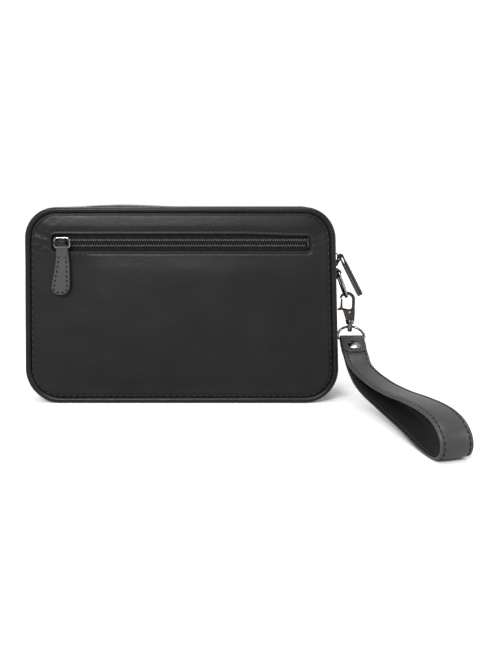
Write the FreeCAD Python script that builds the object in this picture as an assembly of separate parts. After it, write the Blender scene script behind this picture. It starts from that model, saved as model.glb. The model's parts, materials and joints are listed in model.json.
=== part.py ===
"""Makeup bag in black leather: two piped panels, a gusset, a zip over the top, a zipped pocket and
a wrist strap on a lobster hook.

Millimetres. +Z is up and the bag stands on z = 0, centred on x = 0, y = 0. The pocket panel faces
-Y and the strap hangs at the +X side.
"""
import FreeCAD, Part
import math
import os

V = FreeCAD.Vector

# --- bag shell ---------------------------------------------------------------------------------
HEIGHT = 130.6           # over the piping
HALF_BOTTOM = 106.0      # half width over the piping at the bottom
HALF_TOP = 101.2         # half width over the piping at the top
CORNER_BOTTOM = 23.0     # outer corner radii of a panel
CORNER_TOP = 21.0
LEAN = 3.0               # each panel leans in towards the top, degrees
SEAM_Y = 25.0            # piping centre to the middle of the bag, at the bottom
PIPING_R = 2.0
PANEL_OUT = 1.0          # panel's outer face, outwards from the piping centre
PANEL_IN = 0.6           # panel's inner face, inwards from the piping centre
SKIN_T = 1.6             # gusset and zip strip leather
SHELL_INSET = 0.6        # gusset surface inside the piping's outermost line
TAB_TOP = 85.0           # the zip ends here, on both sides
LINING_T = 0.5
BOARD_T = 0.5

# --- pocket window -----------------------------------------------------------------------------
WINDOW_X = (-84.3, 85.1)
WINDOW_Z = (101.8, 112.9)
POCKET_ZIP_Z = 107.35    # middle of the pocket's chain

# --- zip size 5 --------------------------------------------------------------------------------
TAPE_T = 0.5
COIL_H = 1.4
COIL_HALF = 3.05         # chain half width
CHANNEL = 0.5            # half of the slit between the two coils
SLIDER_HALF = 5.9        # half length of a slider
WIRE_R = 0.65            # bail wire

# --- pullers -----------------------------------------------------------------------------------
PULLER_REACH = 30.6      # bail wire to tip
PULLER_T = 2.4
PULLER_TIP_HALF = 6.3
PULLER_NECK_HALF = 4.1

# --- side hardware -----------------------------------------------------------------------------
RING_TILT = 20.4         # side ring out from upright, degrees
RING_REACH = 18.4        # side ring, pivot bar to far wire, centre to centre
RING_WIRE = 1.1
RING_HALF = 9.0          # half width to the wire centre
RING_END = V(112.3, 0, 69.1)     # far wire of the side ring, where the hook hangs
PIN = V(114.8, 0, 58.4)          # gate pin of the hook
SWIVEL_X = 115.4
STRAP_RING_TOP = 47.9            # wire centre, height
STRAP_RING_PITCH = 42.0
STRAP_RING_REACH = 10.4
STRAP_RING_HALF = 9.2
STRAP_WIRE = 0.9

# --- wrist strap -------------------------------------------------------------------------------
STRAP_HEADING = V(math.sin(0.03), -math.cos(0.03), 0)
STRAP_TURNS = ((0, 0.03), (26, 0.03), (38, 0.42), (52, 0.42), (75, 0.30), (160, 0.30))
STRAP_PITCH = 22.7       # slope where it leaves the ring, degrees
STRAP_OUTER_T = 1.1
STRAP_LINING_T = 0.9
STRAP_HALF_START = 8.0
STRAP_HALF_END = 9.6
FOLD_LEAF = 1.2


# ------------------------------------------------------------------------------------- helpers
def rounded(points, radii, place):
    """Closed wire through 2-D points, each corner rounded by its own tangent arc."""
    count = len(points)
    arcs = []
    for i in range(count):
        here = V(points[i][0], points[i][1], 0)
        to_last = (V(*points[i - 1], 0) - here).normalize()
        to_next = (V(*points[(i + 1) % count], 0) - here).normalize()
        half = to_last.getAngle(to_next) / 2
        r = radii[i]
        if r <= 0:
            arcs.append((here, None, here))
            continue
        reach = r / math.tan(half)
        inward = (to_last + to_next).normalize()
        centre = here + inward * (r / math.sin(half))
        arcs.append((here + to_last * reach, centre - inward * r, here + to_next * reach))
    edges = []
    for i in range(count):
        start, middle, end = arcs[i]
        if middle is not None:
            edges.append(Part.Arc(place(start), place(middle), place(end)).toShape())
        following = arcs[(i + 1) % count][0]
        if (following - end).Length > 1e-4:
            edges.append(Part.LineSegment(place(end), place(following)).toShape())
    return Part.Wire(edges)


def upright(p):
    """2-D point to the XZ plane."""
    return V(p.x, 0, p.y)


def flat(p):
    """2-D point to the XY plane."""
    return V(p.x, p.y, 0)


def outline(inset, foot=None):
    """The bag's rounded trapezoid, moved in from its outermost line by inset."""
    low = inset if foot is None else foot
    high = HEIGHT - inset
    slope = (HALF_TOP - HALF_BOTTOM) / HEIGHT

    def half(z):
        return HALF_BOTTOM + slope * z - inset

    points = [(-half(low), low), (half(low), low), (half(high), high), (-half(high), high)]
    lower = max(CORNER_BOTTOM - inset, 1.0)
    upper = max(CORNER_TOP - inset, 1.0)
    return rounded(points, [lower, lower, upper, upper], upright)


def sheet(wire, y_near, y_far):
    """Plate from a wire in the XZ plane, between two depths."""
    face = Part.Face(wire)
    face.translate(V(0, y_near, 0))
    return face.extrude(V(0, y_far - y_near, 0))


def box(x0, x1, y0, y1, z0, z1):
    return Part.makeBox(x1 - x0, y1 - y0, z1 - z0, V(x0, y0, z0))


def slot(x0, x1, z0, z1, r, y0, y1):
    """Rounded bar along X with its corners rounded by r."""
    wire = rounded([(x0, z0), (x1, z0), (x1, z1), (x0, z1)], [r] * 4, upright)
    return sheet(wire, y0, y1)


def lean(shape):
    """From the flat panel frame to the pocket side of the bag."""
    shape = shape.copy()
    shape.rotate(V(0, 0, PIPING_R), V(1, 0, 0), -LEAN)
    shape.translate(V(0, -SEAM_Y, 0))
    return shape


def other_side(shape):
    """The same shape on the plain side."""
    return shape.mirror(V(0, 0, 0), V(0, 1, 0))


def leaned_y(offset, z):
    """Depth of a line that lies offset inside the pocket side's seam, at height z."""
    tilt = math.radians(LEAN)
    return -SEAM_Y + offset / math.cos(tilt) + (z - PIPING_R) * math.tan(tilt)


def between(pocket_offset, plain_offset):
    """Wedge between the two panels, each face moved inwards by its own offset."""
    low, high = -5.0, HEIGHT + 5.0
    corners = [
        V(-130, leaned_y(pocket_offset, low), low),
        V(-130, leaned_y(pocket_offset, high), high),
        V(-130, -leaned_y(plain_offset, high), high),
        V(-130, -leaned_y(plain_offset, low), low),
    ]
    return Part.Face(Part.makePolygon(corners + corners[:1])).extrude(V(260, 0, 0))


def ring_shell(outer, inner, foot_outer=None, foot_inner=None):
    """Band that follows the bag's outline, as deep as the bag."""
    shell = sheet(outline(outer, foot_outer), -45, 45)
    return shell.cut(sheet(outline(inner, foot_inner), -46, 46))


def tube(wire, start, along, radius):
    """Round wire or cord along a path."""
    profile = Part.Wire(Part.makeCircle(radius, start, along))
    sweep = Part.BRepOffsetAPI.MakePipeShell(wire)
    sweep.setFrenetMode(True)
    sweep.add(profile)
    sweep.build()
    sweep.makeSolid()
    return sweep.shape()


def frame(origin, u, v, w):
    """Placement that takes local u, v, w to the three given directions."""
    matrix = FreeCAD.Matrix(
        u.x, v.x, w.x, origin.x,
        u.y, v.y, w.y, origin.y,
        u.z, v.z, w.z, origin.z,
        0, 0, 0, 1)
    return FreeCAD.Placement(matrix)


def put(shape, placement):
    moved = shape.copy()
    moved.Placement = placement.multiply(moved.Placement)
    return moved


def one_solid(shape):
    """The largest solid of a shape."""
    solids = sorted(shape.Solids, key=lambda s: s.Volume)
    return solids[-1]


parts = {}

# ---------------------------------------------------------------------------- panels and piping
seam = outline(PIPING_R)
cord = tube(seam, V(0, 0, PIPING_R), V(1, 0, 0), PIPING_R)
wide_cord = tube(seam, V(0, 0, PIPING_R), V(1, 0, 0), PIPING_R + 0.3)

blank = sheet(outline(PIPING_R + 1.0), -PANEL_OUT, PANEL_IN).cut(cord)
window = slot(WINDOW_X[0], WINDOW_X[1], WINDOW_Z[0], WINDOW_Z[1], 2.5, -5, 5)
parts["pocket_piping"] = lean(cord)
parts["plain_piping"] = other_side(lean(cord))
parts["pocket_panel"] = lean(one_solid(blank.cut(window)))
parts["plain_panel"] = other_side(lean(one_solid(blank)))

# ------------------------------------------------------------------------ gusset and zip strips
pocket_cord = lean(cord)
plain_cord_room = other_side(lean(wide_cord))
shell = ring_shell(SHELL_INSET, SHELL_INSET + SKIN_T, 0.0, SKIN_T).common(between(1.3, 1.3))
below_zip = box(-130, 130, -60, 60, -5, TAB_TOP)
above_zip = box(-130, 130, -60, 60, TAB_TOP + 0.3, HEIGHT + 5)
parts["gusset"] = one_solid(shell.common(below_zip).cut(pocket_cord).cut(plain_cord_room))

STRIP_EDGE = 5.6         # leather edge to the middle of the chain
strips = shell.common(above_zip)
pocket_half = box(-130, 130, -60, -STRIP_EDGE, -5, 140)
plain_half = box(-130, 130, STRIP_EDGE, 60, -5, 140)
parts["zip_strip_pocket_side"] = one_solid(strips.common(pocket_half).cut(pocket_cord))
parts["zip_strip_plain_side"] = one_solid(strips.common(plain_half).cut(other_side(lean(cord))))

# ------------------------------------------------------------------------------------ main zip
TAPE_INSET = SHELL_INSET + SKIN_T
JOINED_TOP = 114.0       # the chain stays closed below this height at the right side
tape_ring = ring_shell(TAPE_INSET, TAPE_INSET + TAPE_T)
coil_ring = ring_shell(TAPE_INSET - COIL_H, TAPE_INSET)
open_region = box(-130, 130, -60, 60, TAB_TOP + 1.5, 140)
joined = box(60, 130, -60, 60, TAB_TOP + 1.5, JOINED_TOP - 0.15)
above_joined = open_region.cut(box(60, 130, -60, 60, 0, JOINED_TOP + 0.15))


def band(ring, y0, y1, region):
    return one_solid(ring.common(box(-130, 130, y0, y1, 0, 140)).common(region))


parts["main_tape_pocket_side"] = band(tape_ring, -11.5, -CHANNEL, open_region)
parts["main_coil_pocket_side"] = band(coil_ring, -COIL_HALF, -CHANNEL, open_region)
parts["main_tape_plain_side"] = band(tape_ring, CHANNEL, 11.5, above_joined)
parts["main_coil_plain_side"] = band(coil_ring, CHANNEL, COIL_HALF, above_joined)
parts["main_tape_joined_end"] = band(tape_ring, CHANNEL, STRIP_EDGE - 0.1, joined)
parts["main_coil_joined_end"] = band(coil_ring, CHANNEL, COIL_HALF, joined)

# ---------------------------------------------------------------------------------- pocket zip
zip_back = PANEL_IN + TAPE_T
coil_face = PANEL_IN - COIL_H
z_mid = POCKET_ZIP_Z
coil_x = (WINDOW_X[0] + 0.3, WINDOW_X[1] - 0.3)
parts["pocket_tape_upper"] = lean(box(-92, 92, PANEL_IN, zip_back, z_mid + CHANNEL, z_mid + 11.5))
parts["pocket_tape_lower"] = lean(box(-92, 92, PANEL_IN, zip_back, z_mid - 11.5, z_mid - CHANNEL))
coil_high = box(coil_x[0], coil_x[1], coil_face, PANEL_IN, z_mid + CHANNEL, z_mid + COIL_HALF)
coil_low = box(coil_x[0], coil_x[1], coil_face, PANEL_IN, z_mid - COIL_HALF, z_mid - CHANNEL)
stop_box = box(coil_x[1] - 2.0, coil_x[1], coil_face - 0.4, PANEL_IN, z_mid - 3.3, z_mid + 3.3)
parts["pocket_coil_upper"] = lean(coil_high.cut(stop_box))
parts["pocket_coil_lower"] = lean(coil_low.cut(stop_box))
parts["pocket_zip_stop"] = lean(stop_box)

# --------------------------------------------------------------------- sliders, bails, pullers
# Local frame: u along the chain, v across it, w outwards from the face of the tape.
PLATE_LOW = COIL_H + 0.15
PLATE_T = 1.0
CROWN_END = (-5.9, 3.6)  # along u, over the outside of the arch
CROWN_T = 0.8
CROWN_TOP = 5.9
CROWN_HALF = 1.1
TUNNEL = (CROWN_END[0] + CROWN_T, CROWN_END[1] - CROWN_T)
LEG_U = TUNNEL[0] + WIRE_R + 0.2
LEG_W = 4.3


def slider():
    """Zip slider: two plates, side flanges, a post between the coils and a crown for the bail."""
    points = [(-SLIDER_HALF, -3.3), (SLIDER_HALF, -4.0), (SLIDER_HALF, 4.0), (-SLIDER_HALF, 3.3)]
    plan = rounded(points, [1.8, 2.6, 2.6, 1.8], flat)
    top = Part.Face(plan).extrude(V(0, 0, PLATE_T))
    top.translate(V(0, 0, PLATE_LOW))
    bottom = Part.Face(plan).extrude(V(0, 0, PLATE_T))
    bottom.translate(V(0, 0, -TAPE_T - 0.15 - PLATE_T))
    body = top
    for side in (-1, 1):
        y0, y1 = sorted((side * (COIL_HALF + 0.15), side * (COIL_HALF + 0.85)))
        body = body.fuse(box(-3.6, 3.6, y0, y1, 0.15, PLATE_LOW))
    post = box(3.0, 5.4, -0.35, 0.35, -TAPE_T - 0.15, PLATE_LOW)
    body = body.fuse(post).fuse(bottom)
    roof = PLATE_LOW + PLATE_T
    side_view = [(CROWN_END[0], roof), (CROWN_END[1], roof), (CROWN_END[1], CROWN_TOP),
                 (CROWN_END[0], CROWN_TOP)]
    arch = sheet(rounded(side_view, [0, 0, 1.9, 1.9], upright), -CROWN_HALF, CROWN_HALF)
    hole_view = [(TUNNEL[0], roof), (TUNNEL[1], roof), (TUNNEL[1], CROWN_TOP - CROWN_T),
                 (TUNNEL[0], CROWN_TOP - CROWN_T)]
    hole = sheet(rounded(hole_view, [0, 0, 1.1, 1.1], upright), -3, 3)
    return body.fuse(arch.cut(hole)).removeSplitter()


def bail(long_half, short_half):
    """Closed wire loop in the XY plane, long side along X, centred on the origin."""
    points = [(-long_half, -short_half), (long_half, -short_half),
              (long_half, short_half), (-long_half, short_half)]
    loop = rounded(points, [2.0] * 4, flat)
    return tube(loop, V(0, -short_half, 0), V(1, 0, 0), WIRE_R)


BAIL_LONG = 4.95         # to the wire centre
BAIL_SHORT = 3.2


def puller(drift):
    """Leather puller hanging along -Y from a wire along X, in the XY plane, wire at the origin."""
    reach = PULLER_REACH
    tip, neck = PULLER_TIP_HALF, PULLER_NECK_HALF
    points = [(-neck, -2.6), (-neck - 0.2, -7.0), (-tip + drift, -reach), (tip + drift, -reach),
              (neck + 0.2, -7.0), (neck, -2.6)]
    blade = Part.Face(rounded(points, [0, 12.0, 5.2, 5.2, 12.0, 0], flat))
    blade = blade.extrude(V(0, 0, PULLER_T))
    blade.translate(V(0, 0, -PULLER_T / 2))
    fold = Part.makeCylinder(1.6, 2 * neck - 0.8, V(-neck + 0.4, 0, 0), V(1, 0, 0))
    waist = [(-neck + 0.4, 0), (neck - 0.4, 0), (neck, -2.6), (-neck, -2.6)]
    cheek = Part.Face(rounded(waist, [0, 0, 0, 0], flat)).extrude(V(0, 0, 2.0))
    cheek.translate(V(0, 0, -1.0))
    bore = Part.makeCylinder(WIRE_R + 0.05, 20, V(-10, 0, 0), V(1, 0, 0))
    body = blade.fuse(cheek).fuse(fold).cut(bore)
    for side in (-1, 1):     # the bore flares at its ends, where the wire starts to bend
        flare = Part.makeCone(WIRE_R + 0.05, WIRE_R + 0.5, 1.3, V(side * 2.7, 0, 0), V(side, 0, 0))
        body = body.cut(flare)
    return body.removeSplitter()


# Pocket slider, parked at the left end of the window.
POCKET_SLIDER_X = -77.6
u_axis = V(1, 0, 0)
v_axis = V(0, 0, 1)
w_axis = V(0, -1, 0)
pocket_place = frame(V(POCKET_SLIDER_X, PANEL_IN, z_mid), u_axis, v_axis, w_axis)
bail_centre = V(LEG_U + BAIL_LONG, 0.05, LEG_W)
bail_local = bail(BAIL_LONG, BAIL_SHORT)
bail_local.translate(bail_centre)
puller_local = puller(-1.7)
puller_local.rotate(V(0, 0, 0), V(1, 0, 0), 0.8)
puller_local.translate(bail_centre - V(0, BAIL_SHORT, 0))
parts["pocket_slider"] = lean(put(slider(), pocket_place))
parts["pocket_bail"] = lean(put(bail_local, pocket_place))
parts["pocket_puller"] = lean(put(puller_local, pocket_place))

# Main slider, parked near the bottom stop at the right side of the bag.
SIDE_LEAN = math.atan((HALF_BOTTOM - HALF_TOP) / HEIGHT)
MAIN_SLIDER_Z = 93.4
BAIL_OUT = 31.0          # bail, out from the chain, degrees
PULLER_HANG = 27.5       # puller, out from upright, degrees
up_chain = V(-math.sin(SIDE_LEAN), 0, math.cos(SIDE_LEAN))
out_chain = V(math.cos(SIDE_LEAN), 0, math.sin(SIDE_LEAN))
tape_x = HALF_BOTTOM + (HALF_TOP - HALF_BOTTOM) * MAIN_SLIDER_Z / HEIGHT - TAPE_INSET
main_origin = V(tape_x, 0, MAIN_SLIDER_Z)
main_place = frame(main_origin, up_chain * -1, V(0, 1, 0), out_chain)
parts["main_slider"] = put(slider(), main_place)

leg_u = TUNNEL[1] - WIRE_R - 0.2
main_leg = main_place.multVec(V(leg_u, 0, LEG_W))
main_bail = bail(BAIL_LONG, BAIL_SHORT)
main_bail.translate(V(0, BAIL_SHORT, 0))
tilt = math.radians(BAIL_OUT)
bail_dir = V(math.sin(tilt), 0, math.cos(tilt))
bail_normal = V(0, 1, 0).cross(bail_dir)
parts["main_bail"] = put(main_bail, frame(main_leg, V(0, 1, 0), bail_dir, bail_normal))
main_wire = main_leg + bail_dir * (2 * BAIL_SHORT)
hang = math.radians(PULLER_HANG)
hang_up = V(-math.sin(hang), 0, math.cos(hang))
hang_normal = V(0, 1, 0).cross(hang_up)
parts["main_puller"] = put(puller(0), frame(main_wire, V(0, 1, 0), hang_up, hang_normal))

stop_z = TAB_TOP + 1.5
stop_x = HALF_BOTTOM + (HALF_TOP - HALF_BOTTOM) * stop_z / HEIGHT - TAPE_INSET
stop_place = frame(V(stop_x, 0, stop_z), up_chain, V(0, -1, 0), out_chain)
main_stop = put(box(0, 0.9, -3.3, 3.3, 0, COIL_H + 0.3), stop_place)
parts["main_bottom_stop"] = main_stop
parts["main_coil_pocket_side"] = one_solid(parts["main_coil_pocket_side"].cut(main_stop))
parts["main_coil_joined_end"] = one_solid(parts["main_coil_joined_end"].cut(main_stop))

# --------------------------------------------------------------------------------------- inside
POUCH_T = 0.6
pouch_y = (zip_back, 9.3)
pouch = box(-90, 90, pouch_y[0], pouch_y[1], 24, 119)
cavity = box(-90 + POUCH_T, 90 - POUCH_T, pouch_y[0] + POUCH_T, pouch_y[1] - POUCH_T,
             24 + POUCH_T, 119 - POUCH_T)
mouth = box(-86.5, 87.0, 0, pouch_y[0] + POUCH_T + 0.2, 99.5, 115.5)
parts["pocket_pouch"] = lean(pouch.cut(cavity).cut(mouth))
below_tape = box(-130, 130, -2, 9, 0, z_mid - 11.7)
pocket_board = sheet(outline(5.0), PANEL_IN, PANEL_IN + BOARD_T).common(below_tape)
parts["pocket_side_board"] = lean(pocket_board)
plain_board = sheet(outline(5.0), PANEL_IN, PANEL_IN + BOARD_T)
parts["plain_side_board"] = other_side(lean(plain_board))
LINING_Y = 9.6
pocket_lining = sheet(outline(4.6), LINING_Y, LINING_Y + LINING_T)
plain_lining = sheet(outline(5.0), 1.4, 1.4 + LINING_T)
parts["pocket_side_lining"] = lean(pocket_lining)
parts["plain_side_lining"] = other_side(lean(plain_lining))
base_wire = rounded([(-80, -20.5), (80, -20.5), (80, 20.5), (-80, 20.5)], [4.0] * 4, flat)
base = Part.Face(base_wire).extrude(V(0, 0, 1.0))
base.translate(V(0, 0, SKIN_T))
parts["base_board"] = base
inner_ring = ring_shell(2.8, 3.3, 2.7, 3.2).common(between(LINING_Y + LINING_T + 0.1, 2.3))
parts["gusset_lining"] = one_solid(inner_ring.common(box(-130, 130, -60, 60, 0, TAB_TOP)))

# ------------------------------------------------------------------------------------ side tabs
TAB_HALF = 7.5
TAB_T = 1.5


def tab(side):
    """Leather tab over the end of the zip, flat on the gusset."""
    strip = ring_shell(SHELL_INSET - TAB_T, SHELL_INSET)
    strip = strip.common(box(-130, 130, -TAB_HALF, TAB_HALF, 69.5, TAB_TOP))
    half = box(0, 130, -30, 30, 0, 140) if side > 0 else box(-130, 0, -30, 30, 0, 140)
    return one_solid(strip.common(half))


parts["side_tab_left"] = tab(-1)

# The right tab's top is a loop around the straight bar of the side ring.
lean_out = math.radians(RING_TILT)
ring_up = V(-math.sin(lean_out), 0, math.cos(lean_out))
ring_bar = RING_END + ring_up * RING_REACH
loop_start = ring_bar - V(0, TAB_HALF, 0)
loop_outer = Part.makeCylinder(RING_WIRE + 1.1, 2 * TAB_HALF, loop_start, V(0, 1, 0))
loop_bore = Part.makeCylinder(RING_WIRE + 0.1, 40, ring_bar - V(0, 20, 0), V(0, 1, 0))
gusset_room = sheet(outline(SHELL_INSET), -30, 30)
neck = box(103.3, ring_bar.x, -TAB_HALF, TAB_HALF, 83.4, ring_bar.z + 1.0)
right_tab = tab(1).fuse(neck).fuse(loop_outer).cut(loop_bore).cut(gusset_room)
parts["side_tab_right"] = one_solid(right_tab.removeSplitter())

# ------------------------------------------------------------------------------------ side ring
def d_ring(half, reach, wire):
    """D-shaped ring in the XY plane: straight bar along X at the origin, round end at -Y."""
    corner = half * 0.98
    points = [(-half, 0), (half, 0), (half, -reach), (-half, -reach)]
    loop = rounded(points, [1.6, 1.6, corner, corner], flat)
    return tube(loop, V(0, 0, 0), V(1, 0, 0), wire)


ring_normal = V(0, 1, 0).cross(ring_up)
ring_place = frame(ring_bar, V(0, 1, 0), ring_up, ring_normal)
parts["side_ring"] = put(d_ring(RING_HALF, RING_REACH, RING_WIRE), ring_place)

# ------------------------------------------------------------------------------------ snap hook
# Local frame: x to the right, z up, the gate pin at the origin.
HOOK_HALF = 1.3          # half thickness of the claw
BODY_HALF = 2.1          # half thickness of the body
GATE_HALF = 0.65
AXIS_X = SWIVEL_X - PIN.x


def plate(points, radii, half):
    return sheet(rounded(points, radii, upright), -half, half)


claw_outer = plate([(-6.9, 1.0), (3.7, 1.0), (3.7, 14.0), (-6.9, 14.0)], [3.0, 0, 5.2, 5.2], HOOK_HALF)
claw_hole = plate([(-6.0, 1.4), (1.8, 1.4), (1.8, 11.9), (-6.0, 11.9)], [2.4, 2.0, 3.85, 3.85], 5)
gate_side = plate([(-9.0, -1.0), (-4.2, -1.0), (-4.2, 9.6), (-9.0, 9.6)], [0, 0, 0, 0], 5)
claw = claw_outer.cut(claw_hole).cut(gate_side)
body_view = [(-4.6, 1.6), (-2.3, -5.9), (3.5, -5.9), (3.7, 1.6)]
hook = plate(body_view, [0.8, 0.6, 0.6, 0.4], BODY_HALF)
collar = Part.makeCylinder(2.8, 1.5, V(AXIS_X, 0, -7.2), V(0, 0, 1))
hook = hook.fuse(claw).fuse(collar)
gate_room = plate([(-7.5, -1.9), (1.9, -1.9), (1.9, 3.0), (-7.5, 3.0)], [0, 1.5, 0, 0], GATE_HALF + 0.15)
hook = hook.cut(gate_room)
PIN_R = 0.8
hook = hook.cut(Part.makeCylinder(PIN_R, 10, V(0, -5, 0), V(0, 1, 0)))
hook = hook.cut(Part.makeCylinder(1.0, 2.6, V(AXIS_X, 0, -7.3), V(0, 0, 1)))
hook = hook.cut(Part.makeCylinder(1.75, 2.0, V(AXIS_X, 0, -5.0), V(0, 0, 1)))
to_pin = FreeCAD.Placement(PIN, FreeCAD.Rotation())
parts["hook_body"] = put(one_solid(hook.removeSplitter()), to_pin)

gate_view = [(-1.7, -1.4), (1.2, -1.4), (1.4, 1.2), (-4.7, 2.8), (-5.0, 9.2), (-6.0, 9.2),
             (-6.4, 2.9), (-8.2, 2.2), (-8.2, 0.9), (-5.2, 1.2)]
gate = plate(gate_view, [1.2, 1.2, 1.2, 0.6, 0, 0, 0.6, 0.5, 0.5, 0.5], GATE_HALF)
gate = gate.cut(Part.makeCylinder(PIN_R + 0.05, 10, V(0, -5, 0), V(0, 1, 0)))
parts["hook_gate"] = put(gate, to_pin)
pin = Part.makeCylinder(PIN_R, 2 * BODY_HALF + 0.4, V(0, -BODY_HALF - 0.2, 0), V(0, 1, 0))
parts["gate_pin"] = put(pin, to_pin)

# Swivel: a headed post in the hook's foot, a collar and a tall eye for the strap ring.
heading = V(STRAP_HEADING).normalize()
across = V(0, 0, 1).cross(heading)
EYE_HALF = 1.3
eye_top = -7.35
eye_frame = frame(V(SWIVEL_X, 0, PIN.z), heading, across, V(0, 0, 1))
post = Part.makeCylinder(0.95, 3.3, V(0, 0, eye_top), V(0, 0, 1))
head = Part.makeCylinder(1.6, 0.7, V(0, 0, eye_top + 2.6), V(0, 0, 1))
flange = Part.makeCylinder(2.7, 1.2, V(0, 0, eye_top - 1.2), V(0, 0, 1))
eye_view = [(-2.2, -14.2), (2.2, -14.2), (2.2, -8.2), (-2.2, -8.2)]
eye = plate(eye_view, [2.1, 2.1, 0.4, 0.4], EYE_HALF)
wire_z = STRAP_RING_TOP - PIN.z
hole_view = [(-1.05, -12.6), (1.05, -12.6), (1.05, wire_z + 1.05), (-1.05, wire_z + 1.05)]
eye = eye.cut(plate(hole_view, [1.04] * 4, 5))
swivel = post.fuse(head).fuse(flange).fuse(eye).removeSplitter()
parts["hook_swivel"] = put(one_solid(swivel), eye_frame)

# ----------------------------------------------------------------------------------- strap ring
ring_top = V(SWIVEL_X, 0, STRAP_RING_TOP)
steep = math.radians(STRAP_RING_PITCH)
ring_down = heading * math.cos(steep) - V(0, 0, math.sin(steep))
strap_bar = ring_top + ring_down * STRAP_RING_REACH
strap_ring = d_ring(STRAP_RING_HALF, STRAP_RING_REACH, STRAP_WIRE)
ring_face = across.cross(ring_down)
parts["strap_ring"] = put(strap_ring, frame(strap_bar, across, ring_down, ring_face))

# ---------------------------------------------------------------------------------- wrist strap
# Distance is measured from the swivel along the strap's track on the ground, height from the
# ground. The track leaves the swivel straight forward and bears right past the sewn end:
# STRAP_TURNS holds distances and headings to the right of forward, in radians.
pitch = math.radians(STRAP_PITCH)
down = heading * math.cos(pitch) - V(0, 0, math.sin(pitch))
normal = heading * math.sin(pitch) + V(0, 0, math.cos(pitch))
bar_s = STRAP_RING_REACH * math.cos(steep)
bar_z = STRAP_RING_TOP - STRAP_RING_REACH * math.sin(steep)
STRAP_T = STRAP_OUTER_T + STRAP_LINING_T
CLAMP = (4.6, 20.0)      # the sewn end, measured from the ring's bar down the strap


def on_clamp(length, rise):
    """Distance and height of a point of the sewn end."""
    s = bar_s + length * math.cos(pitch) + rise * math.sin(pitch)
    z = bar_z - length * math.sin(pitch) + rise * math.cos(pitch)
    return (s, z, 0)


def bearing(s):
    """Heading of the track at a distance from the swivel."""
    for (s0, turn0), (s1, turn1) in zip(STRAP_TURNS, STRAP_TURNS[1:]):
        if s <= s1:
            turn = turn0 + (turn1 - turn0) * (s - s0) / (s1 - s0)
            break
    return V(math.sin(turn), -math.cos(turn), 0)


def track(s):
    """Place of the track at a distance from the swivel."""
    steps = 80
    at = V(SWIVEL_X, 0, 0)
    for k in range(steps):
        at = at + bearing(s * (k + 0.5) / steps) * (s / steps)
    return at


# Middle line of the band, from the sewn end out along the top, round the bend and back below:
# distance, height and how far the lower run rolls its right edge up, in degrees.
half_t = STRAP_T / 2
clamp_rise = half_t + 0.1
route = [
    on_clamp(CLAMP[0], clamp_rise), on_clamp(12.5, clamp_rise), on_clamp(20.5, clamp_rise),
    on_clamp(23, clamp_rise), (36, 28.2, 0), (48, 24.0, 0), (64, 21.4, 0), (82, 21.4, 0),
    (101, 22.8, 0), (120, 23.2, 0), (134, 21.0, 0), (142.6, 15.4, 0), (145.0, 8.4, 0),
    (141.8, 3.0, 0), (133, 1.4, 1), (119, 3.9, 8), (104, 7.5, 15), (87, 10.3, 20),
    (70, 12.5, 20), (54, 15.0, 13), (42, 19.2, 6), (34, 25.6, 0), on_clamp(23, -clamp_rise),
    on_clamp(20.5, -clamp_rise), on_clamp(12.5, -clamp_rise), on_clamp(CLAMP[0], -clamp_rise),
]


def smooth(points, steps):
    """Points along a smooth curve through the given ones."""
    line = []
    for i in range(len(points) - 1):
        p0 = points[max(i - 1, 0)]
        p1, p2 = points[i], points[i + 1]
        p3 = points[min(i + 2, len(points) - 1)]
        for k in range(steps):
            t = k / steps
            at = []
            for a, b, c, d in zip(p0, p1, p2, p3):
                curve = 2 * b + (c - a) * t + (2 * a - 5 * b + 4 * c - d) * t * t
                at.append(0.5 * (curve + (3 * b - a - 3 * c + d) * t ** 3))
            line.append(tuple(at))
    line.append(points[-1])
    return line


def band_sections(inner, outer):
    """Rectangles across the strap between two offsets from its middle line."""
    line = smooth(route, 2)
    sections = []
    for i, (s, z, roll) in enumerate(line):
        before = line[max(i - 1, 0)]
        after = line[min(i + 1, len(line) - 1)]
        ds, dz = after[0] - before[0], after[1] - before[1]
        size = math.hypot(ds, dz)
        ns, nz = -dz / size, ds / size
        blend = min(max((s - bar_s - 18) / 100, 0), 1)
        half = STRAP_HALF_START + (STRAP_HALF_END - STRAP_HALF_START) * blend
        ahead = bearing(s)
        sideways = V(0, 0, 1).cross(ahead)
        outwards = ahead * ns + V(0, 0, nz)
        turn = math.radians(roll)
        width_way = sideways * math.cos(turn) - outwards * math.sin(turn)
        depth_way = outwards * math.cos(turn) + sideways * math.sin(turn)
        centre = track(s) + V(0, 0, z)
        corners = []
        for side, offset in ((-1, inner), (1, inner), (1, outer), (-1, outer)):
            corners.append(centre + depth_way * offset + width_way * (half * side))
        sections.append(Part.makePolygon(corners + corners[:1]))
    return sections


middle = half_t - STRAP_OUTER_T
parts["strap_outer"] = Part.makeLoft(band_sections(middle, half_t), True, True)
parts["strap_lining"] = Part.makeLoft(band_sections(-half_t, middle), True, True)

# Folded end piece: two leaves over the ends of the band and a fold around the ring's bar.
fold_half = STRAP_HALF_START
leaf_in = STRAP_T + 0.1
leaf_out = leaf_in + FOLD_LEAF
side_points = [(0, 2.2), (3.6, leaf_out), (CLAMP[1] + 1, leaf_out), (CLAMP[1] + 1, leaf_in),
               (CLAMP[0], leaf_in), (CLAMP[0], -leaf_in), (CLAMP[1] + 1, -leaf_in),
               (CLAMP[1] + 1, -leaf_out), (3.6, -leaf_out), (0, -2.2)]
fold = plate(side_points, [0, 3, 0, 0, 0, 0, 0, 0, 3, 0], fold_half)
fold = fold.fuse(Part.makeCylinder(2.2, 2 * fold_half, V(0, -fold_half, 0), V(0, 1, 0)))
fold = fold.cut(Part.makeCylinder(STRAP_WIRE + 0.1, 40, V(0, -20, 0), V(0, 1, 0)))
end_view = [(-3, -fold_half), (CLAMP[1], -fold_half), (CLAMP[1], fold_half), (-3, fold_half)]
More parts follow.
